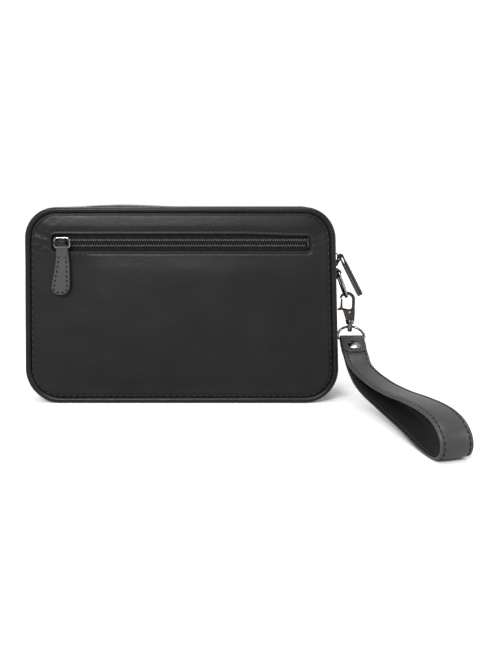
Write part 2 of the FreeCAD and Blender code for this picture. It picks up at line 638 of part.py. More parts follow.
trim = Part.Face(rounded(end_view, [0, 6.5, 6.5, 0], flat)).extrude(V(0, 0, 12))
trim.translate(V(0, 0, -6))
fold = one_solid(fold.common(trim).removeSplitter())

RIVET_AT = 12.4
RIVET_R = 4.5
rivet_low = -leaf_out
shank = Part.makeCylinder(1.5, 2 * leaf_out, V(RIVET_AT, 0, rivet_low), V(0, 0, 1))
ball = (RIVET_R ** 2 + 1.2 ** 2) / (2 * 1.2)
dome = Part.makeSphere(ball, V(RIVET_AT, 0, leaf_out + 1.2 - ball))
dome = dome.common(Part.makeCylinder(RIVET_R, 3, V(RIVET_AT, 0, leaf_out), V(0, 0, 1)))
back = Part.makeCylinder(3.2, 0.6, V(RIVET_AT, 0, rivet_low - 0.6), V(0, 0, 1))
clamp_place = frame(strap_bar, down, across, normal)
parts["strap_end_fold"] = put(fold.cut(shank), clamp_place)
parts["strap_rivet_cap"] = put(dome, clamp_place)
parts["strap_rivet_post"] = put(shank.fuse(back), clamp_place)
shank_room = put(shank, clamp_place)
fold_room = put(fold, clamp_place)
for name in ("strap_outer", "strap_lining"):
    parts[name] = one_solid(parts[name].cut(shank_room).cut(fold_room))

# --------------------------------------------------------------------------------------- output
os.makedirs("parts", exist_ok=True)
for name, shape in parts.items():
    if len(shape.Solids) == 1:
        shape = shape.Solids[0]
    if not shape.isValid() or len(shape.Solids) != 1:
        print("CHECK", name, shape.isValid(), len(shape.Solids))
    shape.exportStep("parts/" + name + ".step")
    room = shape.BoundBox
    print("%-24s %9.1f  x %7.1f %7.1f  y %7.1f %7.1f  z %7.1f %7.1f" % (
        name, shape.Volume, room.XMin, room.XMax, room.YMin, room.YMax, room.ZMin, room.ZMax))
print("main leg", main_leg, "main wire", main_wire, "ring bar", ring_bar)
print("strap ring top", ring_top, "bar", strap_bar)
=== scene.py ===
"""Looks of the black leather bag: piped panels, gusset, zips, pullers, snap hook and strap.

Shapes are worked out in millimetres in the frame of the CAD and scaled to metres as each mesh is
made. The pocket panel faces -Y and the wrist strap hangs at the +X side.
"""
import json
from math import acos, atan, atan2, copysign, cos, pi, radians, sin, tan

import bmesh
import bpy
import numpy as np
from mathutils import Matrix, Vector, geometry, noise


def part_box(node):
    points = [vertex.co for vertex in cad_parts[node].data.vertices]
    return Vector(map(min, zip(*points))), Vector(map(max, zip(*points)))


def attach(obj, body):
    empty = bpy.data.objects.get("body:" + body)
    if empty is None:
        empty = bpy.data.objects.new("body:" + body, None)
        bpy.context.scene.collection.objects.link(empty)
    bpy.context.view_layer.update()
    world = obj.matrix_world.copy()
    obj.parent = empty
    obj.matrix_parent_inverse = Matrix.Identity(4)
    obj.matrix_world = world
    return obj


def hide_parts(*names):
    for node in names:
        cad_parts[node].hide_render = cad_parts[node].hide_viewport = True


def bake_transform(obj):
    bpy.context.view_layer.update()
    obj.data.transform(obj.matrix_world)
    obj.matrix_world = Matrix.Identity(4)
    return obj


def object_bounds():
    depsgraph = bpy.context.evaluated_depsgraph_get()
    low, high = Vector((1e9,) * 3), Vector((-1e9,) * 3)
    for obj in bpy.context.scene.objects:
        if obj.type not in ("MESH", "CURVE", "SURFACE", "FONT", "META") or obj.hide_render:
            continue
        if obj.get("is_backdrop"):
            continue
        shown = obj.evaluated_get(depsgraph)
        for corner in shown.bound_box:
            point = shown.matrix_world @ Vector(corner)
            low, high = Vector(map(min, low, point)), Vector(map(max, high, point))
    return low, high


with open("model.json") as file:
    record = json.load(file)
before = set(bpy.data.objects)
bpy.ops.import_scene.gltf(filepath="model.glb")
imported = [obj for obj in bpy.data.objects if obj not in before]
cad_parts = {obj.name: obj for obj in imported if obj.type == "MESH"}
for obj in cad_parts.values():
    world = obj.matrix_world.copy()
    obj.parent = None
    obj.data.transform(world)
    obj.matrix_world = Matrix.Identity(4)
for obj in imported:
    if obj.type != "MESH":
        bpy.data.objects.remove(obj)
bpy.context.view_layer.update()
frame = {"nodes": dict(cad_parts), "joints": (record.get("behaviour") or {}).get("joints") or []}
JOINTS = {joint["name"]: joint for joint in frame["joints"]}

# --- the bag's own dimensions, in millimetres
HEIGHT = 130.6
HALF_BOTTOM, HALF_TOP = 106.0, 101.2
CORNER_BOTTOM, CORNER_TOP = 23.0, 21.0
LEAN = radians(3.0)      # each panel towards the other
SEAM_Y = 25.0            # from the bag's middle to a panel's seam, at the base
PIPING_R = 2.0
EDGE_INSET = 1.0         # from a panel's seam to the edge of the gusset or strip
FACE_OUT = 1.4           # from the piping's centre line to the gusset's and strips' outer face
TAB_TOP, TAB_HALF = 85.0, 7.5
WINDOW_X, WINDOW_Z, WINDOW_R = (-84.3, 85.1), (101.8, 112.9), 2.5
POCKET_ZIP_Z = 107.35
PITCH = 1.55             # tooth to tooth along one coil
TAPE_THICK = 0.42
STRIP_EDGE = 5.6         # from the middle of the main zip to the leather beside it
JOINED_TOP = 114.0       # height up to which the main zip's lower end is closed
STITCH = 4.5             # stitch length on the panels
FINE_STITCH = 3.3        # on the window, the strips and the strap
SMALL_STITCH = 3.1       # on the pullers and the tabs
BORDER_SEAM = 5.0        # from the bag's outermost line to the panels' stitches
WINDOW_SEAM = 1.75       # from the window's edge to its stitches

X_WAY, Y_WAY, Z_WAY = np.eye(3)
PANEL_OUT = np.array([0, -cos(LEAN), sin(LEAN)])    # off the leaning pocket panel
PANEL_UP = np.array([0, sin(LEAN), cos(LEAN)])


# --- small geometry kit
def unit(v):
    return v / np.maximum(np.linalg.norm(v, axis=-1, keepdims=True), 1e-12)


def looped(points):
    """A closed line with its first point repeated at its end."""
    return np.concatenate([points, points[:1]])


def cols(*parts):
    """Numbers and arrays as the columns of one array."""
    return np.stack(np.broadcast_arrays(*parts), -1)


def arc_length(points):
    steps = np.linalg.norm(np.diff(points, axis=0), axis=1)
    return np.concatenate([[0.0], np.cumsum(steps)])


def sampled(at, s, rows):
    """Rows that are known at distances s, read at the distances in at."""
    return cols(*[np.interp(at, s, column) for column in rows.T])


def resample(points, step):
    """The same line with evenly spaced points."""
    s = arc_length(points)
    count = max(int(round(s[-1] / step)), 2)
    return sampled(np.linspace(0, s[-1], count + 1), s, points)


def tangents(points):
    return unit(np.gradient(points, axis=0))


def circle(count):
    """Evenly spaced angles round a circle."""
    return np.arange(count) * 2 * pi / count


def gauss(x, width):
    return np.exp(-(x / width) ** 2)


def ease(x):
    x = np.clip(x, 0, 1)
    return x * x * (3 - 2 * x)


def ripple(points, size, seed):
    """Smooth noise from -1 to 1 at each point, size being the distance between its bumps."""
    shift = Vector((seed * 17.3, seed * 5.1, seed * 9.7))
    return np.array([noise.noise(Vector(p) / size + shift) for p in points])


def grid_ripple(s, ys, size, seed, stretch=(1, 1, 1)):
    """The same noise over a grid of distances s by depths ys."""
    grid = cols(s[:, None], ys, 0).reshape(-1, 3) * np.array(stretch)
    return ripple(grid, size, seed).reshape(ys.shape)


def upright(points, y):
    """2-D (x, z) points as 3-D points at depth y."""
    return cols(points[:, 0], y, points[:, 1])


def grid_faces(rows, across, wrap_rows=False, wrap_across=False):
    r = np.arange(rows if wrap_rows else rows - 1)[:, None]
    c = np.arange(across if wrap_across else across - 1)
    r2, c2 = (r + 1) % rows, (c + 1) % across
    quads = cols(r * across + c, r * across + c2, r2 * across + c2, r2 * across + c)
    return quads.reshape(-1, 4).tolist()


def loft(sections, closed_path=False):
    """Vertices and faces of a solid through closed sections, capped unless the path is closed."""
    rows, around, _ = sections.shape
    faces = grid_faces(rows, around, closed_path, True)
    if not closed_path:
        faces.append(list(range(around)))
        faces.append(list(range((rows - 1) * around, rows * around))[::-1])
    return sections.reshape(-1, 3), faces


def slab(face, back):
    """A thin solid between two grids of points."""
    return loft(np.concatenate([face, back[:, ::-1]], 1))


def repeated(local, rings, around, centres, ways):
    """The same small closed tube at every centre, set in the three directions found there."""
    size = rings * around
    one = grid_faces(rings, around, False, True)
    one += [list(range(around)), list(range(size - around, size))[::-1]]
    points = centres[:, None] + sum(
        local[:, k:k + 1] * np.broadcast_to(way, centres.shape)[:, None]
        for k, way in enumerate(ways))
    faces = [[i + size * k for i in face] for k in range(len(centres)) for face in one]
    return points.reshape(-1, 3), faces


def joined(pieces):
    """Several (vertices, faces) as one."""
    points, faces, base = [], [], 0
    for p, f in pieces:
        points.append(p)
        faces += [[i + base for i in face] for face in f]
        base += len(p)
    return np.concatenate(points), faces


def put(name, data):
    """A new object in the scene."""
    obj = bpy.data.objects.new(name, data)
    bpy.context.scene.collection.objects.link(obj)
    return obj


def piece(name, shape, body, material, hides=(), repair=True, strip=False):
    """A mesh object in metres that rides on a body and stands for the CAD nodes it hides.

    The narrow sides of a strip, which is made of two rows of 19 points, get the cut-edge look.
    """
    points, faces = shape
    mesh = bpy.data.meshes.new(name)
    mesh.from_pydata((np.asarray(points) * 0.001).tolist(), [], faces)
    if repair:
        work = bmesh.new()
        work.from_mesh(mesh)
        bmesh.ops.recalc_face_normals(work, faces=work.faces)
        work.to_mesh(mesh)
        work.free()
    mesh.polygons.foreach_set("use_smooth", [True] * len(mesh.polygons))
    mesh.materials.append(material)
    # The narrow sides get the lighter edge colour, which is partly a painted highlight.
    if strip:
        mesh.materials.append(EDGE)
        for polygon in mesh.polygons[:-2]:
            polygon.material_index = int(polygon.index % 38 in (18, 37))
    obj = put(name, mesh)
    if hides:
        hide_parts(*hides)
    if body:
        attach(obj, body)
    return obj


# --- outlines
def rounded_loop(corners, radii, step):
    """Points and outward normals round a counter-clockwise polygon with rounded corners."""
    corners = [np.array(c, float) for c in corners]
    points, normals, arcs = [], [], []
    count = len(corners)
    for i, here in enumerate(corners):
        back, on = unit(corners[i - 1] - here), unit(corners[(i + 1) % count] - here)
        half = acos(np.clip(back @ on, -1, 1)) / 2
        reach = radii[i] / tan(half)
        centre = here + unit(back + on) * (radii[i] / sin(half))
        arcs.append((here + back * reach, centre, here + on * reach, pi - 2 * half))
    for i, (start, centre, end, turn) in enumerate(arcs):
        pieces = max(int(radii[i] * turn / step), 4)
        angle = atan2(*(start - centre)[::-1]) + turn * np.arange(pieces) / pieces
        ways = cols(np.cos(angle), np.sin(angle))
        ahead = arcs[(i + 1) % count][0] - end
        pieces = max(int(np.linalg.norm(ahead) / step), 1)
        points += [centre + ways * radii[i], end + ahead * np.arange(pieces)[:, None] / pieces]
        normals += [ways, np.tile(unit(ahead[::-1] * (1, -1)), (pieces, 1))]
    return np.concatenate(points), np.concatenate(normals)


def rounded_box(x0, x1, z0, z1, radius, step):
    return rounded_loop([(x1, z0), (x1, z1), (x0, z1), (x0, z0)], [radius] * 4, step)[0]


def outline(inset, step):
    """The bag's rounded trapezoid, moved in from its outermost line by inset."""
    low, high = inset, HEIGHT - inset
    slope = (HALF_TOP - HALF_BOTTOM) / HEIGHT
    wide_low, wide_high = [HALF_BOTTOM + slope * z - inset for z in (low, high)]
    corners = [(wide_low, low), (wide_high, high), (-wide_high, high), (-wide_low, low)]
    lower, upper = [max(r - inset, 1.0) for r in (CORNER_BOTTOM, CORNER_TOP)]
    return rounded_loop(corners, [lower, upper, upper, lower], step)


def window_loop(out, step=1.3):
    return rounded_box(WINDOW_X[0] - out, WINDOW_X[1] + out, WINDOW_Z[0] - out, WINDOW_Z[1] + out,
                       WINDOW_R + out, step)


# The rim is the piping's centre line, from the middle of the base round the right side and back.
RIM, RIM_N = outline(PIPING_R, 0.8)
start = int(np.argmin(np.abs(RIM[:, 0]) + RIM[:, 1]))
RIM, RIM_N = [looped(np.roll(rows, -start, 0)) for rows in (RIM, RIM_N)]
RIM_S = arc_length(RIM)
RIM_L = RIM_S[-1]


def rim_at(s):
    """(points, outward normals) of the rim at distances from the middle of the base."""
    s = np.mod(s, RIM_L)
    return sampled(s, RIM_S, RIM), unit(sampled(s, RIM_S, RIM_N))


def rim_s(x_side, z):
    """Distance round the rim at height z, on the right (x_side 1) or left (-1)."""
    index = np.flatnonzero((RIM[:, 0] * x_side > 60) & (np.abs(RIM[:, 1] - z) < 3))
    order = index[np.argsort(RIM[index, 1])]
    return float(np.interp(z, RIM[order, 1], RIM_S[order]))


def over_rim(s, ys, outs):
    """Grid of 3-D points over the rim at depths ys and heights outs."""
    p, n = rim_at(s)
    return cols(p[:, :1] + n[:, :1] * outs, ys, p[:, 1:] + n[:, 1:] * outs)


def seam_y(z, offset):
    """Depth from the middle of the bag to the seam, less offset."""
    return SEAM_Y - offset / cos(LEAN) - (z - PIPING_R) * tan(LEAN)


def lean(points, side=-1):
    """From the flat panel frame to the pocket side (-1) or, mirrored, to the plain side (1)."""
    p = np.array(points, float)
    y, z = p[..., 1].copy(), p[..., 2] - PIPING_R
    p[..., 1] = y * cos(LEAN) + z * sin(LEAN) - SEAM_Y
    p[..., 2] = -y * sin(LEAN) + z * cos(LEAN) + PIPING_R
    if side > 0:
        p[..., 1] = -p[..., 1]
    return p


def lift(p):
    """How far the soft top stands above the rim at its points p, most to the left."""
    x, z = p[:, :1], p[:, 1:]
    return (1.7 * gauss(x + 42, 30) + 0.5 * gauss(x - 35, 30)) * ease((z - 105) / 20)


# --- materials
class Nodes:
    """Shorthand for building a material's node tree. Scales are per millimetre."""

    def __init__(self, name):
        self.material = bpy.data.materials.new(name)
        self.material.use_nodes = True
        self.tree = self.material.node_tree
        self.place = self.add("TexCoord", "Object")

    def feed(self, node, **values):
        """Sets or links a node's sockets, and sets its other properties."""
        for key, value in values.items():
            socket = node.inputs.get(key.replace("_", " "))
            if socket is None:
                setattr(node, key, value)
            elif isinstance(value, bpy.types.NodeSocket):
                self.tree.links.new(value, socket)
            else:
                socket.default_value = value

    def add(self, kind, output, **values):
        node = self.tree.nodes.new("ShaderNode" + kind)
        self.feed(node, **values)
        return node.outputs[output]

    def texture(self, kind, output, scale, stretch=(1, 1, 1), turn=(0, 0, 0), **values):
        place = self.add("Mapping", "Vector", Vector=self.place, Scale=stretch, Rotation=turn)
        return self.add("Tex" + kind, output, Vector=place, Scale=scale * 1000, **values)

    def noise(self, scale, detail, rough, stretch=(1, 1, 1)):
        return self.texture("Noise", "Fac", scale, stretch, Detail=detail, Roughness=rough)

    def cells(self, scale, feature="F1"):
        return self.texture("Voronoi", "Distance", scale, feature=feature)

    def wave(self, scale, direction, distortion, turn=0.0):
        """Ridges, about scale of them per millimetre."""
        return self.texture("Wave", "Fac", scale / 20, turn=(0, turn, 0), Distortion=distortion,
                            bands_direction=direction)

    def ramp(self, value, low, high, at=(0.0, 1.0)):
        """From one colour or number to another."""
        output = self.add("ValToRGB", "Color", Fac=value)
        for element, place, colour in zip(output.node.color_ramp.elements, at, (low, high)):
            element.position = place
            element.color = (*np.broadcast_to(colour, 3), 1)
        return output

    def mix(self, a, b, share):
        node = self.add("Mix", 0, data_type="RGBA").node
        node.inputs[0].default_value = share
        for value, socket in zip((a, b), [s for s in node.inputs if s.type == "RGBA"]):
            self.tree.links.new(value, socket)
        return next(s for s in node.outputs if s.type == "RGBA")

    def bump(self, height, depth, strength, **under):
        """Relief depth millimetres deep, over the relief given as Normal."""
        return self.add("Bump", "Normal", Height=height, Strength=strength,
                        Distance=depth * 0.001, **under)

    def finish(self, **values):
        self.feed(self.tree.nodes["Principled BSDF"], **values)
        return self.material


def leather(name, dark, light, rough, grain, depth, specular):
    """Fine-grained nappa: pebbled cells, soft creases, uneven polish."""
    n = Nodes(name)
    pebbles = n.cells(grain, "SMOOTH_F1")
    fine = n.noise(grain * 3.2, 2.0, 0.6)
    crease = n.noise(0.11, 4.0, 0.62, (1.0, 1.0, 2.2))
    broad = n.noise(0.035, 3.0, 0.55)
    tone = n.ramp(broad, dark, light, (0.3, 0.72))
    valleys = n.ramp(pebbles, light, dark, (0.0, 0.85))
    polish = n.mix(n.ramp(broad, rough[0], rough[1], (0.35, 0.7)),
                   n.ramp(pebbles, rough[0] - 0.05, rough[1] + 0.08), 0.45)
    relief = n.bump(fine, depth * 0.5, 0.5, Normal=n.bump(pebbles, depth, 0.55))
    return n.finish(Base_Color=n.mix(tone, valleys, 0.35), Roughness=polish,
                    Normal=n.bump(crease, 0.9, 0.16, Normal=relief), Specular_IOR_Level=specular)


def cloth(name, dark, light, threads, depth, rough, sheen, turn):
    """Woven cloth: warp and weft ridges with a little unevenness."""
    n = Nodes(name)
    weave = n.add("Math", 0, operation="MULTIPLY")
    for ridges, socket in zip((n.wave(threads, "DIAGONAL", 0.4, turn), n.wave(threads, "Z", 0.4)),
                              weave.node.inputs):
        n.tree.links.new(ridges, socket)
    uneven = n.noise(0.35, 3.0, 0.6)
    fuzz = n.noise(6.0, 2.0, 0.7)
    colour = n.mix(n.ramp(weave, dark, light, (0.1, 0.9)), n.ramp(uneven, dark, light), 0.35)
    relief = n.bump(fuzz, depth * 0.4, 0.5, Normal=n.bump(weave, depth, 0.8))
    return n.finish(Base_Color=colour, Roughness=n.ramp(uneven, *rough), Normal=relief,
                    Sheen_Weight=sheen, Sheen_Roughness=0.4, Specular_IOR_Level=0.15)


def metal(name, dark, light, rough):
    """Plated casting: faint brushing, smudges and tiny pits."""
    n = Nodes(name)
    smudge = n.noise(0.28, 4.0, 0.6)
    brushed = n.noise(2.4, 3.0, 0.7, (1.0, 1.0, 0.12))
    colour = n.mix(n.ramp(smudge, dark, light, (0.35, 0.65)), n.ramp(brushed, dark, light), 0.15)
    polish = n.mix(n.ramp(smudge, *rough, (0.35, 0.7)), n.ramp(brushed, *rough), 0.4)
    relief = n.bump(n.cells(1.9), 0.004, 0.3, Normal=n.bump(brushed, 0.003, 0.35))
    return n.finish(Base_Color=colour, Roughness=polish, Normal=relief, Metallic=1.0,
                    Specular_Tint=(0.22, 0.2, 0.18, 1))


def thread(name, dark, light, specular):
    """Bonded thread: a tight twist with a waxy shine."""
    n = Nodes(name)
    twist = n.wave(2.6, "DIAGONAL", 0.2)
    hairs = n.noise(5.0, 2.0, 0.6)
    colour = n.mix(n.ramp(twist, dark, light), n.ramp(hairs, dark, light), 0.4)
    return n.finish(Base_Color=colour, Roughness=n.ramp(hairs, 0.38, 0.55),
                    Normal=n.bump(twist, 0.05, 0.7), Sheen_Weight=0.05,
                    Specular_IOR_Level=specular)


def nylon(name, dark, light):
    """Moulded coil: smooth, slightly uneven gloss."""
    n = Nodes(name)
    patch = n.noise(0.9, 3.0, 0.5)
    return n.finish(Base_Color=n.ramp(patch, dark, light), Roughness=n.ramp(patch, 0.24, 0.4),
                    Normal=n.bump(n.noise(3.5, 2.0, 0.6), 0.02, 0.4), Specular_IOR_Level=0.2)


def board(name):
    """Grey-brown fibre board."""
    n = Nodes(name)
    fibre = n.noise(0.8, 5.0, 0.7, (1.0, 1.0, 0.35))
    colour = n.mix(n.ramp(fibre, (0.25, 0.2, 0.15), (0.42, 0.35, 0.27), (0.3, 0.7)),
                   n.ramp(n.cells(0.5), (0.3, 0.25, 0.2), (0.4, 0.34, 0.28)), 0.3)
    return n.finish(Base_Color=colour, Roughness=n.ramp(fibre, 0.8, 0.95),
                    Normal=n.bump(fibre, 0.06, 0.6))


BLACK = leather("bag_leather", (0.003, 0.003, 0.0034), (0.006, 0.0058, 0.0062),
                (0.34, 0.48), 1.0, 0.05, 0.13)
PIPE = leather("piping_leather", (0.003, 0.003, 0.0034), (0.007, 0.0068, 0.007),
               (0.3, 0.42), 1.2, 0.04, 0.13)
STRAP = leather("strap_leather", (0.017, 0.017, 0.0178), (0.029, 0.0284, 0.029),
                (0.36, 0.5), 1.1, 0.05, 0.22)
INNER = leather("strap_inner_leather", (0.003, 0.003, 0.0034), (0.006, 0.0058, 0.006),
                (0.55, 0.7), 1.3, 0.05, 0.15)
PULL = leather("puller_leather", (0.02, 0.0197, 0.02), (0.032, 0.0313, 0.0317),
               (0.45, 0.62), 1.5, 0.05, 0.22)
# Cut-edge paint, lighter than the leather so the narrow sides of strips read as bright lines: the
# paint's own tone plus a painted highlight along the edges.
EDGE = leather("cut_edge", (0.03, 0.0295, 0.0295), (0.055, 0.053, 0.052),
               (0.45, 0.7), 2.2, 0.06, 0.2)
TAPE = cloth("tape_weave", (0.0015, 0.0015, 0.0017), (0.005, 0.005, 0.0053),
             1.6, 0.07, (0.75, 0.95), 0.02, 0.0)
LINING = cloth("lining_weave", (0.02, 0.019, 0.019), (0.05, 0.047, 0.046),
               1.9, 0.05, (0.6, 0.8), 0.35, 0.6)
COIL = nylon("coil_nylon", (0.003, 0.003, 0.0032), (0.009, 0.0088, 0.009))
# The thread over the zip coils is light grey so its zigzag rows stand for the glints along the
# coils: a real thread carrying a painted highlight.
CHAIN_THREAD_PAINTED_HIGHLIGHT = thread("chain_thread", (0.022, 0.022, 0.0225), (0.06, 0.059, 0.059), 0.4)
THREAD = thread("black_thread", (0.006, 0.006, 0.0063), (0.019, 0.0185, 0.0185), 0.22)
DARK_THREAD = thread("puller_thread", (0.001, 0.001, 0.001), (0.0025, 0.0025, 0.0025), 0.05)
# Gunmetal and both nickels have base colours far darker than real plate, so under the white world
# they look dark between their highlights: painted dark reflection standing for a dark studio, over
# each plate's own tone. The darkest nickel is painted darkest of all.
GUN = metal("gunmetal_plate", (0.014, 0.0118, 0.01), (0.05, 0.0435, 0.038), (0.1, 0.2))
NICKEL = metal("nickel_plate", (0.1, 0.094, 0.087), (0.34, 0.325, 0.307), (0.08, 0.18))
NICKEL_PAINTED_DARK = metal("nickel_plate_painted_dark", (0.03, 0.0277, 0.025), (0.15, 0.142, 0.133), (0.1, 0.2))
BLACKED = metal("blackened_plate", (0.008, 0.008, 0.008), (0.03, 0.029, 0.028), (0.3, 0.5))
FIBRE = board("fibre_board")


def stitch_line(path, up, pitch, wide, high, gap=0.32, closed=False):
    """Plump stitches, bowed down at their ends, along a 3-D line with surface normals up."""
    up = np.broadcast_to(up, path.shape)
    if closed:
        path, up = looped(path), looped(up)
    s = arc_length(path)
    count = max(int(round(s[-1] / pitch)), 1)
    at = (np.arange(count) + 0.5) * s[-1] / count
    t = unit(sampled(at, s, tangents(path)))
    n = unit(sampled(at, s, up))
    t = unit(t + 0.05 * np.cross(n, t))
    half = s[-1] / count * (1 - gap) / 2 + 0.15
    local = [(place * half, cos(a) * wide * size, (sin(a) * size - 0.9 * place * place) * high)
             for place, size in ((-1.0, 0.12), (-0.8, 0.62), (-0.4, 0.95), (0.0, 1.0),
                                 (0.4, 0.95), (0.8, 0.62), (1.0, 0.12))
             for a in circle(6)]
    return repeated(np.array(local), 7, 6, sampled(at, s, path), (t, unit(np.cross(t, n)), n))


# --- leather skins
def inside(points, loop):
    """Which of the 2-D points lie inside a closed loop."""
    x, z = points[:, 0][:, None], points[:, 1][:, None]
    x1, z1 = loop[:, 0], loop[:, 1]
    x2, z2 = np.roll(x1, -1), np.roll(z1, -1)
    crosses = ((z1 > z) != (z2 > z)) & (x < (x2 - x1) * (z - z1) / (z2 - z1 + 1e-12) + x1)
    return crosses.sum(1) % 2 == 1


def distance_to(points, loop):
    """Distance from each 2-D point to the nearest side of a closed loop."""
    ab = np.roll(loop, -1, 0) - loop
    best, batch = np.zeros(len(points)), 2000
    for first in range(0, len(points), batch):
        p = points[first:first + batch][:, None]
        t = np.clip(((p - loop) * ab).sum(-1) / (ab * ab).sum(-1), 0, 1)
        gap = np.linalg.norm(p - (loop + t[..., None] * ab), axis=-1)
        best[first:first + batch] = gap.min(1)
    return best


def flat_skin(rings, holes, spacing):
    """Triangles over the first ring less the first hole, through every ring and a grid between."""
    edges, base = [], 0
    for ring in rings + holes:
        count = len(ring)
        edges += [(base + i, base + (i + 1) % count) for i in range(count)]
        base += count
    low, high = rings[0].min(0), rings[0].max(0)
    grid, z = [], low[1]
    while z < high[1]:
        first = low[0] + (spacing / 2 if len(grid) % 2 else 0)
        grid.append(cols(np.arange(first, high[0], spacing), z))
        z += spacing * 0.866
    grid = np.concatenate(grid)
    grid = grid[inside(grid, rings[-1])]
    for hole in holes[-1:]:
        grid = grid[~inside(grid, hole)]
    for loop in [rings[-1]] + holes[-1:]:
        grid = grid[distance_to(grid, loop) > spacing * 0.55]
    coords = [Vector(p) for p in np.concatenate(rings + holes + [grid])]
    result = geometry.delaunay_2d_cdt(coords, edges, [], 0, 1e-5)
    points = np.array([tuple(v) for v in result[0]])
    faces = np.array([f for f in result[2] if len(f) == 3])
    middle = points[faces].mean(1)
    keep = inside(middle, rings[0])
    if holes:
        keep &= ~inside(middle, holes[0])
    return points, faces[keep].tolist()


def droop(points):
    """The window's upper lip hangs lower towards its right end."""
    x, z = points[:, 0], points[:, 1]
    fall = 1.35 * ease((x - 38) / 44) * gauss(np.maximum(z - 111, 0), 7.0) * ease((z - 106.5) / 5)
    return points - cols(0, fall * ease((108 - x) / 14))


def under_puller(x, z):
    """How much of the pocket's puller's weight lies on the panel, from 0 to 1."""
    return ease((23 - np.abs(x + 75.0)) / 15) * ease((112 - z) / 12) * ease((z - 46) / 28)


def edge_gaps(points, side):
    """Distances to the bag's outermost line and, on the pocket side, out from the window."""
    gap = distance_to(points, outline(0.0, 1.6)[0])
    if side > 0:
        return gap, None
    hole = window_loop(0.0)
    hole_gap = distance_to(points, hole)
    return gap, np.where(inside(points, hole), -hole_gap, hole_gap)


def panel_depth(p, gap, hole_gap, side):
    """How far the leather stands out of the flat panel plane at each point."""
    x, z = p[:, 0], p[:, 1]
    three = upright(p, 40.0 * side)
    # Filled middle, and soft unevenness.
    crown = 1 - np.clip(np.abs(x) / 101, 0, 1) ** 2.6
    crown = crown * (1 - np.clip(np.abs(z - 63) / 63, 0, 1) ** 2.4)
    crown = 1.5 * np.clip(crown, 0, 1) + 0.35 * ripple(three, 46, 3 + side)
    crown += 0.16 * ripple(three * np.array([1.0, 1.0, 1.7]), 19, 7 + side)
    # Sewn edge, with the row of stitches in a groove, and a top band that falls back.
    puff = 0.32 * gauss(gap - 7.2, 2.4) - 0.3 * gauss(gap - BORDER_SEAM, 0.55)
    out = -0.5 + 1.5 * ease((gap - 3.0) / 2.0) + puff + crown * ease((gap - 5.5) / 16)
    out -= 0.85 * ease((z - 110) / 8) * (1 - ease((gap - 4.5) / 11)) * ease((gap - 3.4) / 1.4)
    corner = gauss(np.hypot(x + 88, z - 118), 13)
    out += 0.4 * corner * np.sin((x - z) * 0.62) * ease((gap - 5.5) / 4)
    if hole_gap is not None:
        # Flat round the window, with its seam, creases at both ends and the puller's print.
        out += (0.95 - out) * gauss(hole_gap, 9.0) * ease((gap - 5) / 6) * 0.92
        out -= 0.26 * gauss(hole_gap - WINDOW_SEAM, 0.42)
        out += 0.16 * gauss(hole_gap - 0.7, 0.5)
        out += 0.42 * gauss(z - 118.2, 3.4) * ease((98 - np.abs(x)) / 14)
        for end, wide, tall, high, slant, rate in ((-90, 7, 9, 0.42, 0.35, 1.15),
                                                   (90, 6, 8, 0.2, -0.4, 1.2)):
            crease = high * np.sin((z + slant * x) * rate)
            out += crease * gauss(x - end, wide) * gauss(z - 106, tall)
        pressed = 0.96 - 0.38 * ease((99 - z) / 6)
        out -= (out - pressed) * under_puller(x, z)
    return out


def panel_skin(side):
    """One leather panel, sewn down at the piping and, on the pocket side, in at its window."""
    rings = [outline(i, 1.6)[0] for i in (3.0, 3.5, 4.0, 4.5, 4.8, 5.0, 5.25, 5.6, 6.2, 7.2, 8.8)]
    holes = [window_loop(o) for o in (-0.2, -0.12, 0.0, 0.2, 0.5, 0.95, 1.35, 1.55, 1.75,
                                      1.95, 2.2, 2.7, 3.6, 5.0)] if side < 0 else []
    points, faces = flat_skin(rings, holes, 2.2)
    gap, hole_gap = edge_gaps(points, side)
    out = panel_depth(points, gap, hole_gap, side)
    if side < 0:
        out = np.where(hole_gap < 0.0, out - 0.25 - 1.3 * ease(-hole_gap / 0.2), out)
        out = np.where(np.abs(hole_gap) < 0.02, out - 0.22, out)
        points = droop(points)
    else:
        faces = [f[::-1] for f in faces]
    return lean(upright(points, -out), side), faces


def surface_line(loop, side, raise_by):
    """A closed 2-D line carried up onto a panel's surface, and the way up from there."""
    out = panel_depth(loop, *edge_gaps(loop, side), side)
    if side < 0:
        loop = droop(loop)
    return lean(upright(loop, -out - raise_by), side), PANEL_OUT * (1, -side, 1)


def piping(side):
    """Leather rolled over a cord, held by the seam on its inner side."""
    loop, out = outline(PIPING_R, 1.3)
    s = arc_length(looped(loop))[:-1]
    flat, normal = upright(loop, 0.0), upright(out, 0.0)
    swell = 1 + 0.025 * ripple(flat, 14, 11 + side) + 0.012 * np.sin(s * 2 * pi / STITCH)
    ring = []
    for a in circle(20):
        r = (PIPING_R * swell * (1 - 0.1 * gauss(pi - abs(pi - a) - 2.5, 0.5)))[:, None]
        ring.append(flat + normal * cos(a) * r - Y_WAY * sin(a) * r)
    points, faces = loft(np.stack(ring, 1), True)
    return lean(points, side), faces


S_RIGHT, S_LEFT = rim_s(1, TAB_TOP), rim_s(-1, TAB_TOP)


